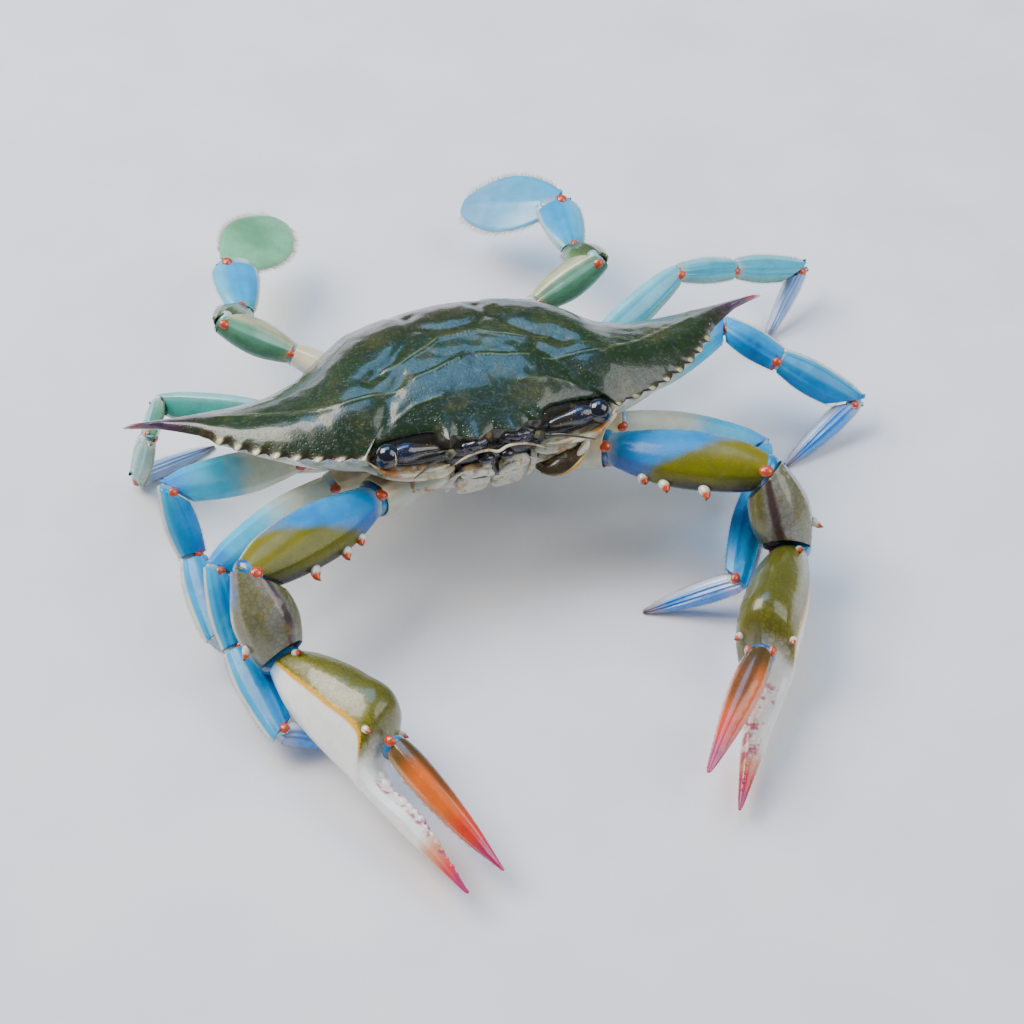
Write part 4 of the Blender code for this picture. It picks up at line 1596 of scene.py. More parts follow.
    def fringe(self, kind: Kind, outline: Outline, length: float, frame_: Matrix,
               rng: random.Random) -> bpy.types.Mesh:
        """A fringe of fine bristles along a plate's thin edges.

        Args:
            kind: which piece.
            outline: its outline.
            length: from joint to joint.
            frame_: the piece's frame.
            rng: what varies the bristles.

        Returns:
            One mesh of them, in metres.
        """
        reach, pitch, covered = (1.9, 0.26, 0.88) if kind is Kind.PADDLE else (0.7, 0.3, 0.8)
        places, skins, roots = [], [], []
        count = int(length / pitch)
        steps = [(edge, n, row) for edge in (1, -1) for n in range(count) for row in range(BRISTLE_ROWS)]
        for edge, n, row in steps:
            share = 0.1 + covered * (n + rng.random()) / (length / pitch)
            turn = edge * math.pi / 2 + rng.uniform(-0.12, 0.12) + 0.1 * (row - 0.5)
            foot, skin, _ = self.point(outline, length, min(share, 0.999), turn, -0.15)
            beyond = self.point(outline, length, min(share, 0.999), turn, 1.0)[0]
            ahead = self.point(outline, length, min(share + STEP, 0.9995), turn)[0] - foot
            out = (beyond - foot).normalized() + Vector((rng.uniform(0.25, 0.6), rng.uniform(-0.25, 0.25), 0))
            size = Vector((0.05, 0.05, reach * rng.uniform(0.6, 1.1)))
            place = frame_ @ stand_on(foot, out, ahead, size)
            if min(place.translation.z, (place @ Vector((0, 0, 1))).z) < FLOOR_GAP:
                continue
            places.append(place)
            skins.append((skin.x, rng.random(), float(row)))
            roots.append((share, turn / (2 * math.pi) + 0.5))
        return scattered(self.bristle(), places, skins, roots)

    def build(self, rng: random.Random) -> None:
        """Adds the whole limb.

        Args:
            rng: what varies its bristles.
        """
        points, word = self.joints(), self.side.word
        for i, kind in enumerate(self.plan.kinds):
            name = f"{self.plan.name}_{kind.value}"
            frame_ = self.piece_frame(kind, points[i], points[i + 1])
            outline, length = self.outline(kind), (points[i + 1] - points[i]).length
            if kind is Kind.PALM:
                length += FINGER
            finish = self.plan.finishes[kind]
            plate = self.plate(kind, i, points, frame_)
            self.add(f"{name}_plate_{word}", plate, finish, (f"{name}_{word}",), frame_)
            spines = self.spines(kind, outline, length) if self.claw else None
            if spines:
                self.add(f"{name}_spines_{word}", spines, SPINE, to_room=frame_)
            if not self.claw and kind not in (Kind.BASE, Kind.MERUS):
                self.add(f"{name}_fringe_{word}", self.fringe(kind, outline, length, frame_, rng), FRINGE)
            if i < len(self.plan.kinds) - 1:
                self.knobs(kind, i, points)


# ---------------------------------------------------------------- this crab's finishes


def along(start: float, end: float) -> Fade:
    """A fade from the near end to the far one."""
    return Fade(Axis.ALONG, start, end)


def fore(start: float, end: float, slant: float = 0.0) -> Fade:
    """A fade from the hind edge to the fore one, which slant sets askew."""
    return Fade(Axis.FORE, start, end, slant)


def facing(start: float, end: float) -> Fade:
    """A fade from the underside to the broad face."""
    return Fade(Axis.FACE, start, end)


def crest(start: float, end: float) -> Fade:
    """A fade towards the tops of ridges."""
    return Fade(Axis.CREST, start, end)


CREAM, WHITE, GOLD, MAGENTA = "#e9dfc0", "#fbfaf4", "#a87a22", "#b01c6c"

SHELL = Finish(
    "wet_olive_shell", "olive_shell", "#183408",
    patches=(
        Patch("#37330f", (fore(-0.2, 0.3),), 0.85),
        Patch("#0f2416", (fore(-0.45, -0.8),), 0.5),
        Patch("#2e2318", (along(0.7, 0.82), fore(-0.25, 0.0)), 0.8),
        Patch("#5c3a5c", (along(0.8, 0.9),), 0.85),
        Patch("#b84a60", (along(0.93, 0.965),), 0.8),
        Patch("#f0e6e0", (along(0.97, 0.99),), 0.9),
        Patch("#6f7d46", (crest(0.45, 0.95),), 0.5),
        # Painted shade: dark red-brown in the notches between the front teeth.
        Patch("#4a1a14", (facing(0.05, 0.25), fore(-0.05, -0.2)), 0.4),
        Patch("#e6cfa0", (crest(1.2, 1.8),), 0.95),
        Patch("#b9d6cc", (facing(0.5, 0.62), fore(-0.1, -0.25))),
        Patch("#ece6cf", (facing(0.75, 1.0),)),
        # Painted shade: near-black on the underside of the front between the orbits, under the brow.
        Patch("#231f1a", (facing(0.5, 0.7), along(0.375, 0.36), fore(-0.6, -0.75)), 0.92),
    ),
    blotches=(
        Blotch("#4a4a18", 9.0, 0.5, 0.45, (facing(0.3, 0.1),)),
        Blotch("#0f1f12", 5.0, 0.52, 0.4, (facing(0.3, 0.1),)),
        Blotch("#c9a347", 3.0, 0.56, 0.5, (facing(0.7, 0.9), fore(-0.6, -0.8))),
    ),
    wobble=0.05, mottle=0.5, mottle_size=2.2, lump_depth=0.12, pit_size=0.7, pit_depth=0.05,
    roughness=0.28, coat=0.5, coat_roughness=0.09, translucence=0.0,
)
GRANULE = Finish(
    "pale_granules", "olive_shell", "#c8e0cc",
    roughness=0.3, coat=0.9, mottle=0.25, mottle_size=4.0, lump_depth=0.0, pit_depth=0.0,
)
UNDERSIDE = Finish(
    "white_plates", "white_underside", "#ece8da",
    patches=(
        Patch("#b9b39a", (crest(0.4, 0.95),), 0.8),
        Patch("#cfe3e6", (along(0.35, 0.9),), 0.4),
    ),
    mottle=0.16, roughness=0.36, coat=0.5,
)
FLANK = Finish(
    "pale_flank", "white_underside", "#e8e0c0",
    patches=(
        Patch("#a9d0c9", (facing(0.3, 0.8),), 0.35),
        Patch("#8a6a3a", (along(0.4, 0.2), facing(-0.2, -0.8)), 0.6),
    ),
    blotches=(
        Blotch("#c8861c", 3.0, 0.5, 0.8),
        Blotch("#4a2c12", 1.9, 0.57, 0.75),
        Blotch("#7fb0c4", 5.0, 0.58, 0.3),
    ),
    mottle=0.25, roughness=0.3,
)
CREAM_EDGE = Finish(
    "cream_edge", "white_underside", "#e6d6b0",
    blotches=(Blotch("#b8802c", 2.0, 0.52, 0.7),),
    mottle=0.3, mottle_size=1.4, roughness=0.32,
)
MOUTHPART = Finish(
    "white_mouthparts", "white_underside", "#eae6d2",
    blotches=(
        Blotch("#d09a26", 2.6, 0.54, 0.75),
        Blotch("#5a4a2c", 1.8, 0.6, 0.7),
        Blotch("#9fb6c0", 3.0, 0.56, 0.4),
    ),
    mottle=0.3, mottle_size=1.8, roughness=0.28, wobble=0.3,
)
# Painted shade: a near-black finish that stands for the shade in the recesses round the eyes, the short
# feelers and over the mouth.
HOLLOW_SHADE = Finish(
    "hollow_painted_shade", "dark_eye", "#15181f",
    patches=(Patch("#2c2a18", (facing(0.0, 0.8),), 0.7),),
    speckles=(Speckle("#5a6aa0", 0.55, 0.2, 0.6), Speckle("#b8b28a", 1.3, 0.12, 0.5)),
    mottle=0.5, roughness=0.25, coat=0.6,
)
NAVY = Finish(
    "navy_speckled", "dark_eye", "#10142a",
    patches=(Patch("#3a3026", (facing(0.2, 0.9),), 0.5),),
    speckles=(Speckle("#8b9bd0", 0.5, 0.22, 0.8),),
    mottle=0.4, roughness=0.22, coat=0.9,
)
# Painted shade: dark brown that stands for the shade in the recess behind the mouthparts.
SHADED_MOUTH = Finish(
    "mouth_recess_painted_shade", "dark_eye", "#2e2110",
    patches=(Patch("#5a4a1c", (facing(0.2, 0.8),), 0.5),),
    speckles=(Speckle("#8fa2c8", 1.6, 0.26, 0.7),),
    mottle=0.5, roughness=0.25, coat=0.6,
)
ORANGE_EDGE = Finish(
    "orange_edge", "white_underside", "#e8dfc4",
    patches=(Patch("#b3611a", (along(0.62, 0.3),), 0.9),),
    blotches=(Blotch("#d8a62a", 1.8, 0.5, 0.8), Blotch("#4a2410", 1.2, 0.62, 0.7)),
    mottle=0.3, mottle_size=1.4, roughness=0.3,
)
CUP = Finish(
    "mouth_cup", "dark_eye", "#4a3a1a",
    patches=(Patch("#7a6a34", (facing(0.0, -0.8),), 0.6),),
    blotches=(Blotch("#1f170a", 2.0, 0.52, 0.7), Blotch("#b8b088", 1.6, 0.6, 0.6)),
    mottle=0.4, roughness=0.26, coat=0.8,
)
YELLOW_EDGE = Finish(
    "yellow_edge", "white_underside", "#d6a61e",
    patches=(Patch("#e8dcae", (facing(0.2, 0.9),), 0.5),),
    blotches=(Blotch("#8a4c12", 1.6, 0.56, 0.6),),
    mottle=0.3, mottle_size=1.4, roughness=0.3,
)
STALK = Finish(
    "speckled_stalk", "dark_eye", "#2e261c",
    patches=(
        Patch("#151c3c", (along(0.4, 0.6),), 0.85),
        Patch("#d9cba0", (along(0.9, 0.97), fore(-0.1, 0.6)), 0.5),
    ),
    speckles=(
        Speckle("#5f78cc", 0.6, 0.24, 0.8, (along(0.35, 0.55),)),
        Speckle("#cfc49a", 1.1, 0.15, 0.6),
    ),
    mottle=0.4, roughness=0.2, coat=1.0,
)
EYE = Finish(
    "glossy_eye", "dark_eye", "#05070f",
    patches=(Patch("#131c3a", (facing(0.1, 0.95),), 0.5),),
    speckles=(Speckle("#1c2850", 0.16, 0.3, 0.4),),
    mottle=0.1, roughness=0.1, coat=1.0, coat_roughness=0.02, pit_size=0.16, pit_depth=0.008,
    lump_depth=0.0, translucence=0.0,
)
FEELER = Finish(
    "feeler", "feeler", "#34352a",
    patches=(Patch("#c9c39a", (along(0.3, 0.0),), 0.7),),
    mottle=0.3, mottle_size=1.0,
)
CONDYLE = Finish(
    "red_condyles", "finger_red", "#cf4a1c",
    patches=(Patch("#efe2cc", (fore(0.1, -0.7),), 0.8),),
    mottle=0.25, mottle_size=1.0, roughness=0.2, coat=0.9,
)
SPINE = Finish(
    "tipped_spines", "finger_red", "#b9c4d2",
    patches=(
        Patch("#efe6d4", (along(0.28, 0.4),)),
        Patch("#d0480f", (along(0.5, 0.68),)),
        Patch("#3c1408", (along(0.8, 0.95),)),
    ),
    wobble=0.03, roughness=0.2, coat=0.9,
)
FRINGE = Finish(
    "bristles", "swimmer_green", "#a89272",
    patches=(Patch("#cdbb9a", (fore(0.4, 0.9),), 0.6),),
    mottle=0.2, roughness=0.5, coat=0.2, lump_depth=0.0, pit_depth=0.0,
)

# The rods that both sides of the face have: the floor of the hollow round each eye, painted near-black as
# shade, its cream lower edge, the ledge under it, its orange corner, the short folded feeler and the pale
# cheek.
FACE_RODS = {
    "orbit_floor": Rod(
        HOLLOW_SHADE,
        ((27.2, -26.0, -1.6), (21, -26.2, -2.6), (15, -26.6, -2.8), (9.5, -27.4, -2.4)),
        ((0, 1.2), (0.4, 2.3), (0.8, 2.2), (1, 1.2)), 28, 40, flat=0.8,
    ),
    "orbit_rim": Rod(
        CREAM_EDGE,
        (
            (28.3, -27.6, -0.8), (25.0, -29.6, -2.9), (19.5, -30.4, -4.0), (14.0, -30.6, -4.4),
            (11.0, -31.4, -3.4),
        ),
        ((0, 0.3), (0.2, 0.5), (0.7, 0.55), (1, 0.25)), 16, 80, flat=0.7, beads=26, bead_depth=0.16,
    ),
    "orbit_shelf": Rod(
        FLANK,
        ((29.2, -26.0, -3.0), (22.0, -27.9, -5.0), (14.0, -28.4, -6.2), (9.0, -28.0, -6.8)),
        ((0, 1.2), (0.3, 1.9), (0.8, 2.0), (1, 1.2)), 28, 48, flat=0.5, broad=(0, -0.7, 0.7),
    ),
    "orbit_corner": Rod(
        ORANGE_EDGE,
        ((27.0, -28.6, -2.0), (23.5, -30.2, -3.4), (19.5, -30.8, -4.4), (16.0, -30.9, -4.9)),
        ((0, 0.5), (0.35, 1.1), (0.7, 0.9), (1, 0.4)), 18, 40, flat=0.6,
    ),
    "antennule": Rod(
        NAVY,
        (
            (1.6, -29.2, -0.6), (4.0, -30.4, -0.4), (7.0, -29.8, -1.0), (5.2, -30.6, -1.6),
            (2.6, -30.4, -1.5),
        ),
        ((0, 1.2), (0.5, 1.1), (0.8, 0.8), (1, 0.3)), 20, 60, beads=5, bead_depth=0.22,
    ),
    "cheek": Rod(
        FLANK,
        ((10.0, -27.6, -8.6), (14.0, -25.6, -10.4), (19.0, -22.6, -11.4), (25.0, -19.0, -10.6)),
        ((0, 1.6), (0.4, 2.7), (0.8, 2.6), (1, 1.4)), 32, 60, flat=0.6, broad=(0, -0.8, 0.5),
    ),
}
# The rods on each outer mouthpart, measured from its middle and tilted with it.
MOUTH_RODS = {
    "mouthpart_palp": Rod(
        MOUTHPART,
        ((1.6, -1.2, 6.6), (-0.6, -1.7, 6.9), (-2.6, -1.7, 5.4), (-3.0, -1.6, 2.2)),
        ((0, 0.9), (0.4, 1.0), (0.75, 0.85), (1, 0.4)), 18, 60, beads=3, bead_depth=0.25,
    ),
    "mouthpart_branch": Rod(
        MOUTHPART,
        ((5.4, 0.3, -6.6), (5.6, 0.1, 0), (5.0, -0.4, 4.6), (3.2, -0.8, 7.6)),
        ((0, 1.0), (0.6, 0.95), (1, 0.3)), 18, 50, flat=0.6,
    ),
}
# The left side's outer mouth branch, which hangs open: a brown cup with a yellow rim and a white end.
CUP_PATH = ((9.0, -28.6, -10.6), (12.5, -30.6, -10.4), (16.5, -31.0, -8.8), (19.6, -30.2, -6.4))
CUP_RIM_PATH = tuple((Vector(point) + Vector((0.6, -1.5, -1.1)))[:] for point in CUP_PATH)
OPEN_BRANCH = {
    "mouth_cup": Rod(
        CUP, CUP_PATH, ((0, 1.2), (0.35, 2.3), (0.7, 2.0), (1, 1.0)), 28, 48, 0.45, (-0.25, -0.55, 0.8),
    ),
    "mouth_cup_rim": Rod(
        YELLOW_EDGE, CUP_RIM_PATH, ((0, 0.3), (0.4, 0.6), (0.8, 0.5), (1, 0.3)), 14, 48,
    ),
    "mouth_cup_end": Rod(
        MOUTHPART,
        ((17.4, -31.4, -8.4), (19.6, -31.2, -6.6), (20.6, -30.4, -4.4)),
        ((0, 0.7), (0.5, 1.1), (1, 0.5)), 20, 32, 0.7,
    ),
}

BLUE_SKIN = Finish(
    "blue_joint_skin", "claw_blue", "#1480b8",
    patches=(Patch("#3a2458", (facing(-0.2, 0.8),), 0.5),),
    roughness=0.2, coat=1.0,
)
PALE_SKIN = Finish(
    "pale_joint_skin", "leg_blue", "#8fb7cc",
    patches=(Patch("#e4dcc6", (facing(-0.2, 0.8),), 0.5),),
    roughness=0.25, coat=0.6,
)
JOINT_SKIN = {
    "claw": BLUE_SKIN, "leg_2": PALE_SKIN, "leg_3": PALE_SKIN, "leg_4": PALE_SKIN, "swimmer": PALE_SKIN,
}

BASE_FINISH = Finish(
    "leg_base", "white_underside", "#ebe5d0",
    patches=(
        Patch("#d3b35a", (along(0.5, 0.95),), 0.5),
        Patch("#b7cfcf", (fore(0.3, 0.9),), 0.4),
    ),
    mottle=0.25, roughness=0.34,
)
CLAW_MERUS_FINISH = Finish(
    "claw_arm", "claw_blue", "#0084c8",
    patches=(
        Patch("#009cd8", (fore(0.0, -0.7), along(0.6, 0.2)), 0.6),
        Patch("#4f66b0", (fore(0.6, 0.85), along(0.5, 0.3)), 0.7),
        Patch("#6c6c10", (fore(1.55, 2.0, 3.2), facing(-0.5, -0.1))),
        Patch("#333b0c", (fore(2.9, 3.8, 3.2), fore(0.3, 0.9), facing(-0.5, 0.1)), 0.7),
        Patch("#8a7c1e", (along(0.55, 0.75), fore(0.5, 0.1), facing(0.0, 0.4)), 0.5),
        Patch("#dccf86", (fore(-0.84, -0.95), along(0.4, 0.6))),
        Patch("#241c3c", (fore(0.9, 0.99), along(0.3, 0.5)), 0.7),
        Patch("#c3d6de", (facing(-0.2, -0.6),), 0.9),
        Patch("#dfe6dc", (along(0.1, 0.0),), 0.6),
    ),
    blotches=(Blotch("#0070dc", 6.0, 0.54, 0.4, (fore(1.7, 1.3, 3.2),)),),
    wobble=0.14, mottle=0.2, roughness=0.26, coat=0.16, coat_roughness=0.08, gloss=0.26,
)
CLAW_CARPUS_FINISH = Finish(
    "claw_wrist", "claw_olive", "#625f14",
    patches=(
        # Painted sheen: the grey band and the greyish broad face stand for a pale reflection on the wet
        # wrist.
        Patch("#918f90", (fore(0.0, 0.3), fore(0.95, 0.8)), 0.75),
        Patch("#8c8a74", (facing(0.55, 0.95),), 0.5),
        Patch("#e2d6a8", (fore(-0.8, -0.93), along(0.2, 0.4)), 0.8),
        Patch("#3a121c", (fore(0.55, 0.68), fore(0.86, 0.76)), 0.9),
        Patch("#8f9aa2", (facing(-0.1, -0.6),), 0.8),
        Patch("#1a5fb8", (fore(-0.5, -0.75), along(0.35, 0.1)), 0.7),
        Patch(GOLD, (crest(0.6, 0.95),), 0.4),
    ),
    blotches=(Blotch("#8a7420", 4.0, 0.56, 0.5),),
    mottle=0.35, roughness=0.27, coat=0.75, coat_roughness=0.1, veins=0.3, vein_colour="#2c3010",
)
PALM_OLIVE = (fore(0.04, 0.14, -0.12), facing(-0.2, -0.05), along(0.51, 0.475))
PALM_FINISH = Finish(
    "claw_palm", "claw_olive", WHITE,
    patches=(
        Patch("#6fb4e0", (along(0.09, 0.03),), 0.85),
        Patch("#0f74d4", (facing(-0.1, -0.35), fore(-0.65, -0.3), along(0.52, 0.46))),
        Patch("#7c7614", PALM_OLIVE),
        Patch("#6c6812", (fore(0.1, 0.3), facing(0.0, -0.1), along(0.52, 0.48))),
        Patch("#4a4c0c", (fore(0.5, 0.95), along(0.5, 0.42)), 0.7),
        Patch("#a09c84", (facing(0.7, 0.95), fore(0.18, 0.36, -0.12), along(0.45, 0.3)), 0.4),
        Patch(
            "#f0b018",
            (
                fore(-0.04, 0.04, -0.12),
                fore(0.18, 0.1, -0.12),
                facing(-0.1, 0.0),
                along(0.51, 0.47),
            ),
        ),
        Patch("#d8a020", (crest(0.6, 0.95), along(0.48, 0.44), fore(0.2, 0.4)), 0.5),
        Patch("#e0761f", (along(0.77, 0.85),), 0.85),
        Patch("#e01c40", (along(0.85, 0.92),), 0.9),
        Patch(MAGENTA, (along(0.92, 0.98),), 0.85),
    ),
    blotches=(Blotch("#b83468", 2.2, 0.5, 0.85, (along(0.54, 0.58), fore(0.6, 0.8))),),
    wobble=0.05, mottle=0.12, mottle_size=2.0, roughness=0.28, coat=0.5, coat_roughness=0.08, veins=0.5,
    vein_colour="#3f4210", vein_fades=PALM_OLIVE,
)
FINGER_FINISH = Finish(
    "claw_finger", "finger_red", "#ee6c14",
    patches=(
        Patch("#4a4416", (along(0.3, 0.08),), 0.9),
        Patch("#4c3712", (fore(0.6, 0.9), along(0.75, 0.35)), 0.85),
        Patch("#e42c20", (along(0.5, 0.7),), 0.85),
        Patch(MAGENTA, (along(0.72, 0.9),), 0.85),
        Patch("#f4b468", (facing(0.1, 0.7), fore(-0.2, -0.6), along(0.8, 0.5)), 0.5),
        Patch("#f2e6dc", (crest(0.97, 1.0), fore(-0.6, -0.9)), 0.9),
    ),
    wobble=0.08, mottle=0.16, roughness=0.25, coat=0.75, coat_roughness=0.09,
)
LEG_MERUS = Finish(
    "walking_arm", "leg_blue", "#30c4ec",
    patches=(
        Patch("#dfe2cc", (along(0.66, 0.34),), 0.95),
        Patch("#0088e8", (along(0.78, 0.98),), 0.8),
        Patch(CREAM, (crest(0.75, 1.0),), 0.5),
        Patch("#c8dbe0", (facing(-0.2, -0.7),), 0.8),
    ),
    blotches=(
        Blotch("#b9c08a", 5.0, 0.55, 0.35, (along(0.7, 0.4),)),
        Blotch("#10a0e8", 6.0, 0.54, 0.4, (along(0.5, 0.7),)),
    ),
    mottle=0.2, mottle_size=4.0, roughness=0.26, coat=0.15, coat_roughness=0.1, gloss=0.28, wobble=0.3,
)
LEG_BLUE = Finish(
    "walking_blue", "leg_blue", "#0092cc",
    patches=(
        Patch("#0070dc", (fore(-0.5, 0.5),), 0.3),
        Patch("#28c4f6", (along(0.35, 0.05), facing(0.2, 0.8)), 0.5),
        Patch("#30c0f0", (fore(-0.3, -0.75),), 0.35),
        Patch("#e6dfc8", (fore(-0.84, -0.95),), 0.85),
        Patch("#a8c8dc", (facing(-0.2, -0.7),), 0.6),
        Patch("#b02a4c", (along(0.9, 0.97), fore(-0.1, 0.4)), 0.85),
    ),
    blotches=(Blotch("#0060cc", 6.0, 0.55, 0.35), Blotch("#30c4f4", 5.0, 0.56, 0.35)),
    mottle=0.2, mottle_size=4.5, roughness=0.26, coat=0.15, coat_roughness=0.1, gloss=0.28,
)
LEG_DACTYL = Finish(
    "walking_tip", "leg_blue", "#1890ec",
    patches=(
        Patch("#e0e6f2", (fore(0.35, 0.8),), 0.75),
        Patch("#d4d8ec", (crest(0.35, 0.85),), 0.9),
        Patch("#e3dfe4", (along(0.25, 0.0),), 0.5),
        Patch("#b59a98", (along(0.7, 0.98),), 0.85),
        Patch("#5a4a3c", (along(0.96, 1.03),), 0.6),
    ),
    mottle=0.2, roughness=0.25, coat=0.8, wobble=0.05,
)
REAR_LEG = Finish(
    "rear_leg_cyan", "swimmer_green", "#38bcd8",
    patches=(
        Patch("#5f8a48", (fore(0.45, 0.9),), 0.6),
        Patch("#b4ecec", (fore(-0.4, -0.9),), 0.5),
        Patch("#d9d9b8", (along(0.15, 0.0),), 0.5),
    ),
    mottle=0.28, mottle_size=4.0, roughness=0.26, coat=0.8,
)
REAR_LEG_DARK = replace(REAR_LEG, name="rear_leg_teal", ground="#3ea094")
REAR_TIP = Finish(
    "rear_tip", "swimmer_green", "#8fb0e0",
    patches=(
        Patch("#6f573c", (along(0.75, 0.98),), 0.7),
        Patch("#e4e2e4", (crest(0.4, 0.9),), 0.8),
    ),
    mottle=0.2,
)
SWIM_MERUS = Finish(
    "swimmer_arm", "swimmer_green", "#62a484",
    patches=(
        Patch("#35603a", (fore(0.3, 0.8),), 0.6),
        Patch("#cfc89c", (fore(0.0, -0.45),), 0.8),
        # Painted shade: olive darkening along the lower hind edge.
        Patch("#7a7a50", (fore(-0.7, -0.95),), 0.5),
        Patch("#ddd294", (along(0.2, -0.05),), 0.7),
        Patch("#8fb8b0", (crest(0.35, 0.55),), 0.6),
    ),
    mottle=0.35, roughness=0.26, coat=0.7,
)
SWIM_CARPUS = Finish(
    "swimmer_wrist", "swimmer_green", "#3f5a22",
    patches=(
        Patch("#6f9a60", (fore(-0.2, -0.8),), 0.6),
        Patch("#a03c1a", (along(0.85, 1.0),), 0.5),
    ),
    mottle=0.35, roughness=0.26, coat=0.8,
)
SWIM_BLUE = Finish(
    "swimmer_blue", "swimmer_green", "#14a8e4",
    patches=(
        Patch("#88e0f0", (fore(0.2, 0.9),), 0.5),
        Patch("#4f9a86", (along(0.25, 0.0),), 0.7),
        Patch("#e0d9b8", (fore(-0.88, -0.98),), 0.6),
    ),
    mottle=0.25, mottle_size=4.0, roughness=0.25, coat=0.6,
)
PADDLE_GREEN = Finish(
    "paddle_green", "swimmer_green", "#84cc9c",
    patches=(
        Patch("#4c9466", (along(0.15, 0.5), fore(-0.7, 0.1)), 0.5),
        Patch("#a0d8b0", (along(0.7, 0.95),), 0.5),
        Patch("#dfd0b0", (crest(0.88, 1.0),), 0.75),
    ),
    speckles=(Speckle("#2f5236", 1.6, 0.13, 0.35),),
    mottle=0.3, mottle_size=4.0, roughness=0.26, coat=0.6,
)
PADDLE_BLUE = Finish(
    "paddle_blue", "swimmer_green", "#48b4e0",
    patches=(
        Patch("#84b4dc", (along(0.45, 0.85),), 0.5),
        Patch("#2ca4e0", (along(0.35, 0.05),), 0.6),
        Patch("#cdbcc8", (crest(0.88, 1.0),), 0.75),
    ),
    mottle=0.28, mottle_size=4.0, roughness=0.25, coat=0.6,
)

WALKING_KINDS = (Kind.BASE, Kind.MERUS, Kind.CARPUS, Kind.PROPODUS, Kind.DACTYL)
WALKING_FINISHES = {
    Kind.BASE: BASE_FINISH, Kind.MERUS: LEG_MERUS, Kind.CARPUS: LEG_BLUE, Kind.PROPODUS: LEG_BLUE,
    Kind.DACTYL: LEG_DACTYL,
}
PLANS = (
    LimbPlan(
        "claw", 1.0,
        kinds=(Kind.BASE, Kind.MERUS, Kind.CARPUS, Kind.PALM, Kind.DACTYL),
        hip=(14.2, -17.5, -14),
        root=(27, -25, -12.5),
        lengths=(36.5, 19.5, 36, 33.5),
        left=Reach(((35, 4), (69, -62), (123, 6), (130, 1)), (0.83, -0.51, 0.2)),
        right=Reach(((28, 5), (103, -53), (116, 3), (115, -14)), (-0.65, -0.28, 0.76)),
        finishes={
            Kind.BASE: BASE_FINISH, Kind.MERUS: CLAW_MERUS_FINISH, Kind.CARPUS: CLAW_CARPUS_FINISH,
            Kind.PALM: PALM_FINISH, Kind.DACTYL: FINGER_FINISH,
        },
    ),
    LimbPlan(
        "leg_2", 1.0,
        kinds=WALKING_KINDS,
        hip=(18.5, -10, -15),
        root=(34, -15, -13.5),
        lengths=(34, 17.5, 23.5, 21.5),
        left=Reach(((14, -18), (118, 8), (120, -13), (-164, None)), (0, -0.7, 0.7)),
        right=Reach(((28, -2), (91, -40), (99, -9), (171, None)), (0, -0.7, 0.7)),
        finishes=WALKING_FINISHES,
    ),
    LimbPlan(
        "leg_3", 1.0,
        kinds=WALKING_KINDS,
        hip=(19.5, -0.5, -15.5),
        root=(38, -2, -14.5),
        lengths=(32, 16, 21.5, 23),
        left=Reach(((-21, 4), (56, -7), (22, -33), (157, None)), (0, -0.7, 0.7)),
        right=Reach(((13, 13), (104, -56), (89, -11), (148, None)), (0, -0.7, 0.7)),
        finishes=WALKING_FINISHES,
    ),
    LimbPlan(
        "leg_4", 0.82,
        kinds=WALKING_KINDS,
        hip=(19.5, 9, -15.5),
        root=(34, 12.5, -13.5),
        lengths=(33, 18, 21.5, 20.5),
        left=Reach(((-27, 12), (-15, -21), (-12, -23), (137, None)), (0, -0.7, 0.7)),
        right=Reach(((-30, -2), (71, 17), (-75, -65), (-160, None)), (-0.6, -0.5, 0.6)),
        finishes={
            Kind.BASE: BASE_FINISH, Kind.MERUS: REAR_LEG, Kind.CARPUS: REAR_LEG,
            Kind.PROPODUS: REAR_LEG, Kind.DACTYL: REAR_TIP,
        },
    ),
    LimbPlan(
        "swimmer", 1.0,
        kinds=(Kind.BASE, Kind.MERUS, Kind.CARPUS, Kind.PROPODUS, Kind.PADDLE),
        hip=(15.3, 18.6, -13),
        root=(29.5, 32.5, -8.5),
        lengths=(17.5, 12, 18, 26.5),
        left=Reach(((-5, 27), (-102, -23), (-84, 1), (-136, -22)), (0, -0.4, 0.9)),
        right=Reach(((-26, 26), (-127, -28), (-97, -1), (-130, -15)), (0, -0.4, 0.9)),
        finishes={
            Kind.BASE: BASE_FINISH, Kind.MERUS: SWIM_MERUS, Kind.CARPUS: SWIM_CARPUS,
            Kind.PROPODUS: SWIM_BLUE, Kind.PADDLE: PADDLE_GREEN,
        },
    ),
)

# Finishes that a limb has on one side only.
ONE_SIDED: dict[tuple[str, Side], dict[Kind, Finish]] = {
    ("swimmer", Side.LEFT): {Kind.PADDLE: PADDLE_BLUE},
    ("leg_4", Side.RIGHT): dict.fromkeys((Kind.MERUS, Kind.CARPUS, Kind.PROPODUS), REAR_LEG_DARK),
}


# ---------------------------------------------------------------- the room


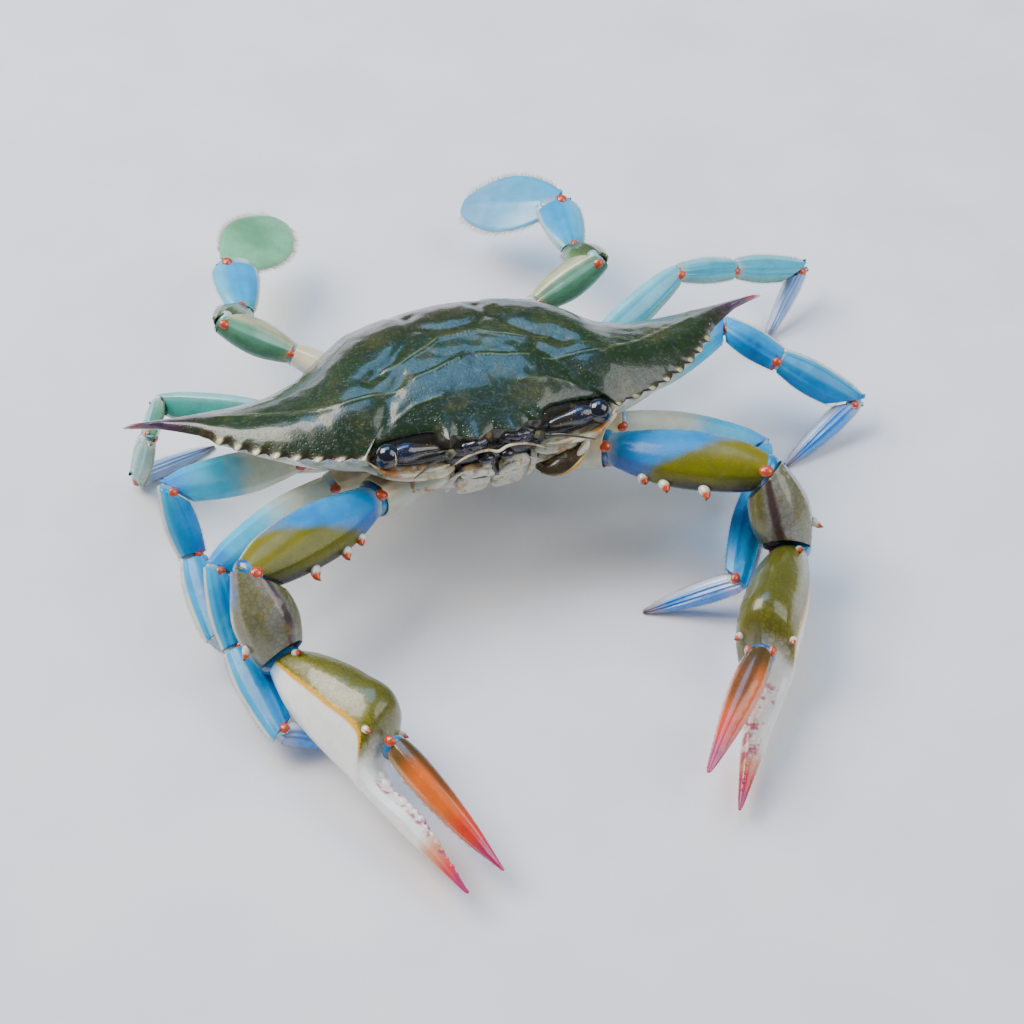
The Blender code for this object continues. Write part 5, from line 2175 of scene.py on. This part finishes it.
@dataclass(frozen=True)
class Studio:
    """The camera, the plain floor and the soft lights."""

    target: Point = (-8.85, -11.85, 15.0)
    azimuth: float = -18.2
    elevation: float = 45.0
    distance: float = 662.7
    lens: float = 105.47
    sensor: float = 36.0
    clip_start: float = 0.01
    floor_size: float = 6.0
    floor_colours: tuple[str, str] = ("#e9e9ee", "#f2f1f2")
    sky: str = "#dfe8f2"
    sky_strength: float = 0.24
    # Each light is (azimuth, elevation, distance in mm, side in mm, watts, colour).
    lights: tuple[tuple[float, float, float, float, float, str], ...] = (
        (-128, 50, 1200, 760, 21.0, "#fff8f0"), (172, 60, 1100, 640, 6.0, "#84c4ff"),
        (66, 44, 1200, 900, 8.5, "#ffffff"))

    @staticmethod
    def back(azimuth: float, elevation: float) -> Vector:
        """Unit vector towards a viewer at an azimuth and elevation."""
        turn, lift = math.radians(azimuth), math.radians(elevation)
        return Vector((math.sin(turn) * math.cos(lift), -math.cos(turn) * math.cos(lift), math.sin(lift)))

    @staticmethod
    def place(name: str, data: bpy.types.ID, spot: Vector, back: Vector) -> bpy.types.Object:
        """Adds an object that looks along its own -Z.

        Args:
            name: the object's name.
            data: its camera or light.
            spot: where it stands, in metres.
            back: the way from what it looks at to it.

        Returns:
            The object.
        """
        made = bpy.data.objects.new(name, data)
        made.location = spot
        made.rotation_euler = (-back).to_track_quat("-Z", "Y").to_euler()
        bpy.context.scene.collection.objects.link(made)
        return made

    def camera_and_lights(self) -> None:
        """Adds the camera, the soft lights and the sky."""
        target = Vector(self.target) * MM
        camera = bpy.data.cameras.new("camera")
        camera.lens, camera.sensor_width, camera.clip_start = self.lens, self.sensor, self.clip_start
        back = self.back(self.azimuth, self.elevation)
        bpy.context.scene.camera = self.place("camera", camera, target + back * self.distance * MM, back)
        for n, (azimuth, elevation, distance, size, watts, colour) in enumerate(self.lights):
            data = bpy.data.lights.new(f"softbox_{n}", "AREA")
            data.shape, data.size, data.energy, data.color = "SQUARE", size * MM, watts, linear(colour)[:3]
            back = self.back(azimuth, elevation)
            self.place(f"softbox_{n}", data, target + back * distance * MM, back)
        world = bpy.data.worlds.new("room")
        world.use_nodes = True
        sky = world.node_tree.nodes["Background"].inputs
        sky["Color"].default_value = linear(self.sky)
        sky["Strength"].default_value = self.sky_strength
        bpy.context.scene.world = world

    def floor(self) -> None:
        """Adds the pale floor."""
        bm = bmesh.new()
        bmesh.ops.create_grid(bm, x_segments=1, y_segments=1, size=self.floor_size / 2)
        mesh = bpy.data.meshes.new("floor")
        bm.to_mesh(mesh)
        bm.free()
        nodes = Nodes("pale_floor")
        cloud = nodes.fade(nodes.noise(30.0, 5.0).outputs["Fac"], 0.3, 0.7)
        nodes.put(nodes.shader.inputs["Base Color"], nodes.mix(cloud, *map(linear, self.floor_colours)))
        nodes.put(nodes.shader.inputs["Roughness"], 0.8)
        mesh.materials.append(nodes.material)
        floor = bpy.data.objects.new("floor", mesh)
        bpy.context.scene.collection.objects.link(floor)

    def build(self) -> None:
        """Adds the whole room."""
        self.camera_and_lights()
        self.floor()


def main() -> None:
    """Builds the room and the crab."""
    logging.basicConfig(level=logging.INFO, format="%(name)s %(message)s")
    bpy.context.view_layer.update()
    stance, rng = Stance(), random.Random(SEED)
    Studio().build()
    Carapace(stance).build(rng)
    Underside(stance).build()
    Face(stance).build()
    for plan in PLANS:
        for side in Side:
            finishes = plan.finishes | ONE_SIDED.get((plan.name, side), {})
            Limb(stance, replace(plan, finishes=finishes), side).build(rng)


if __name__ == "__main__":
    main()
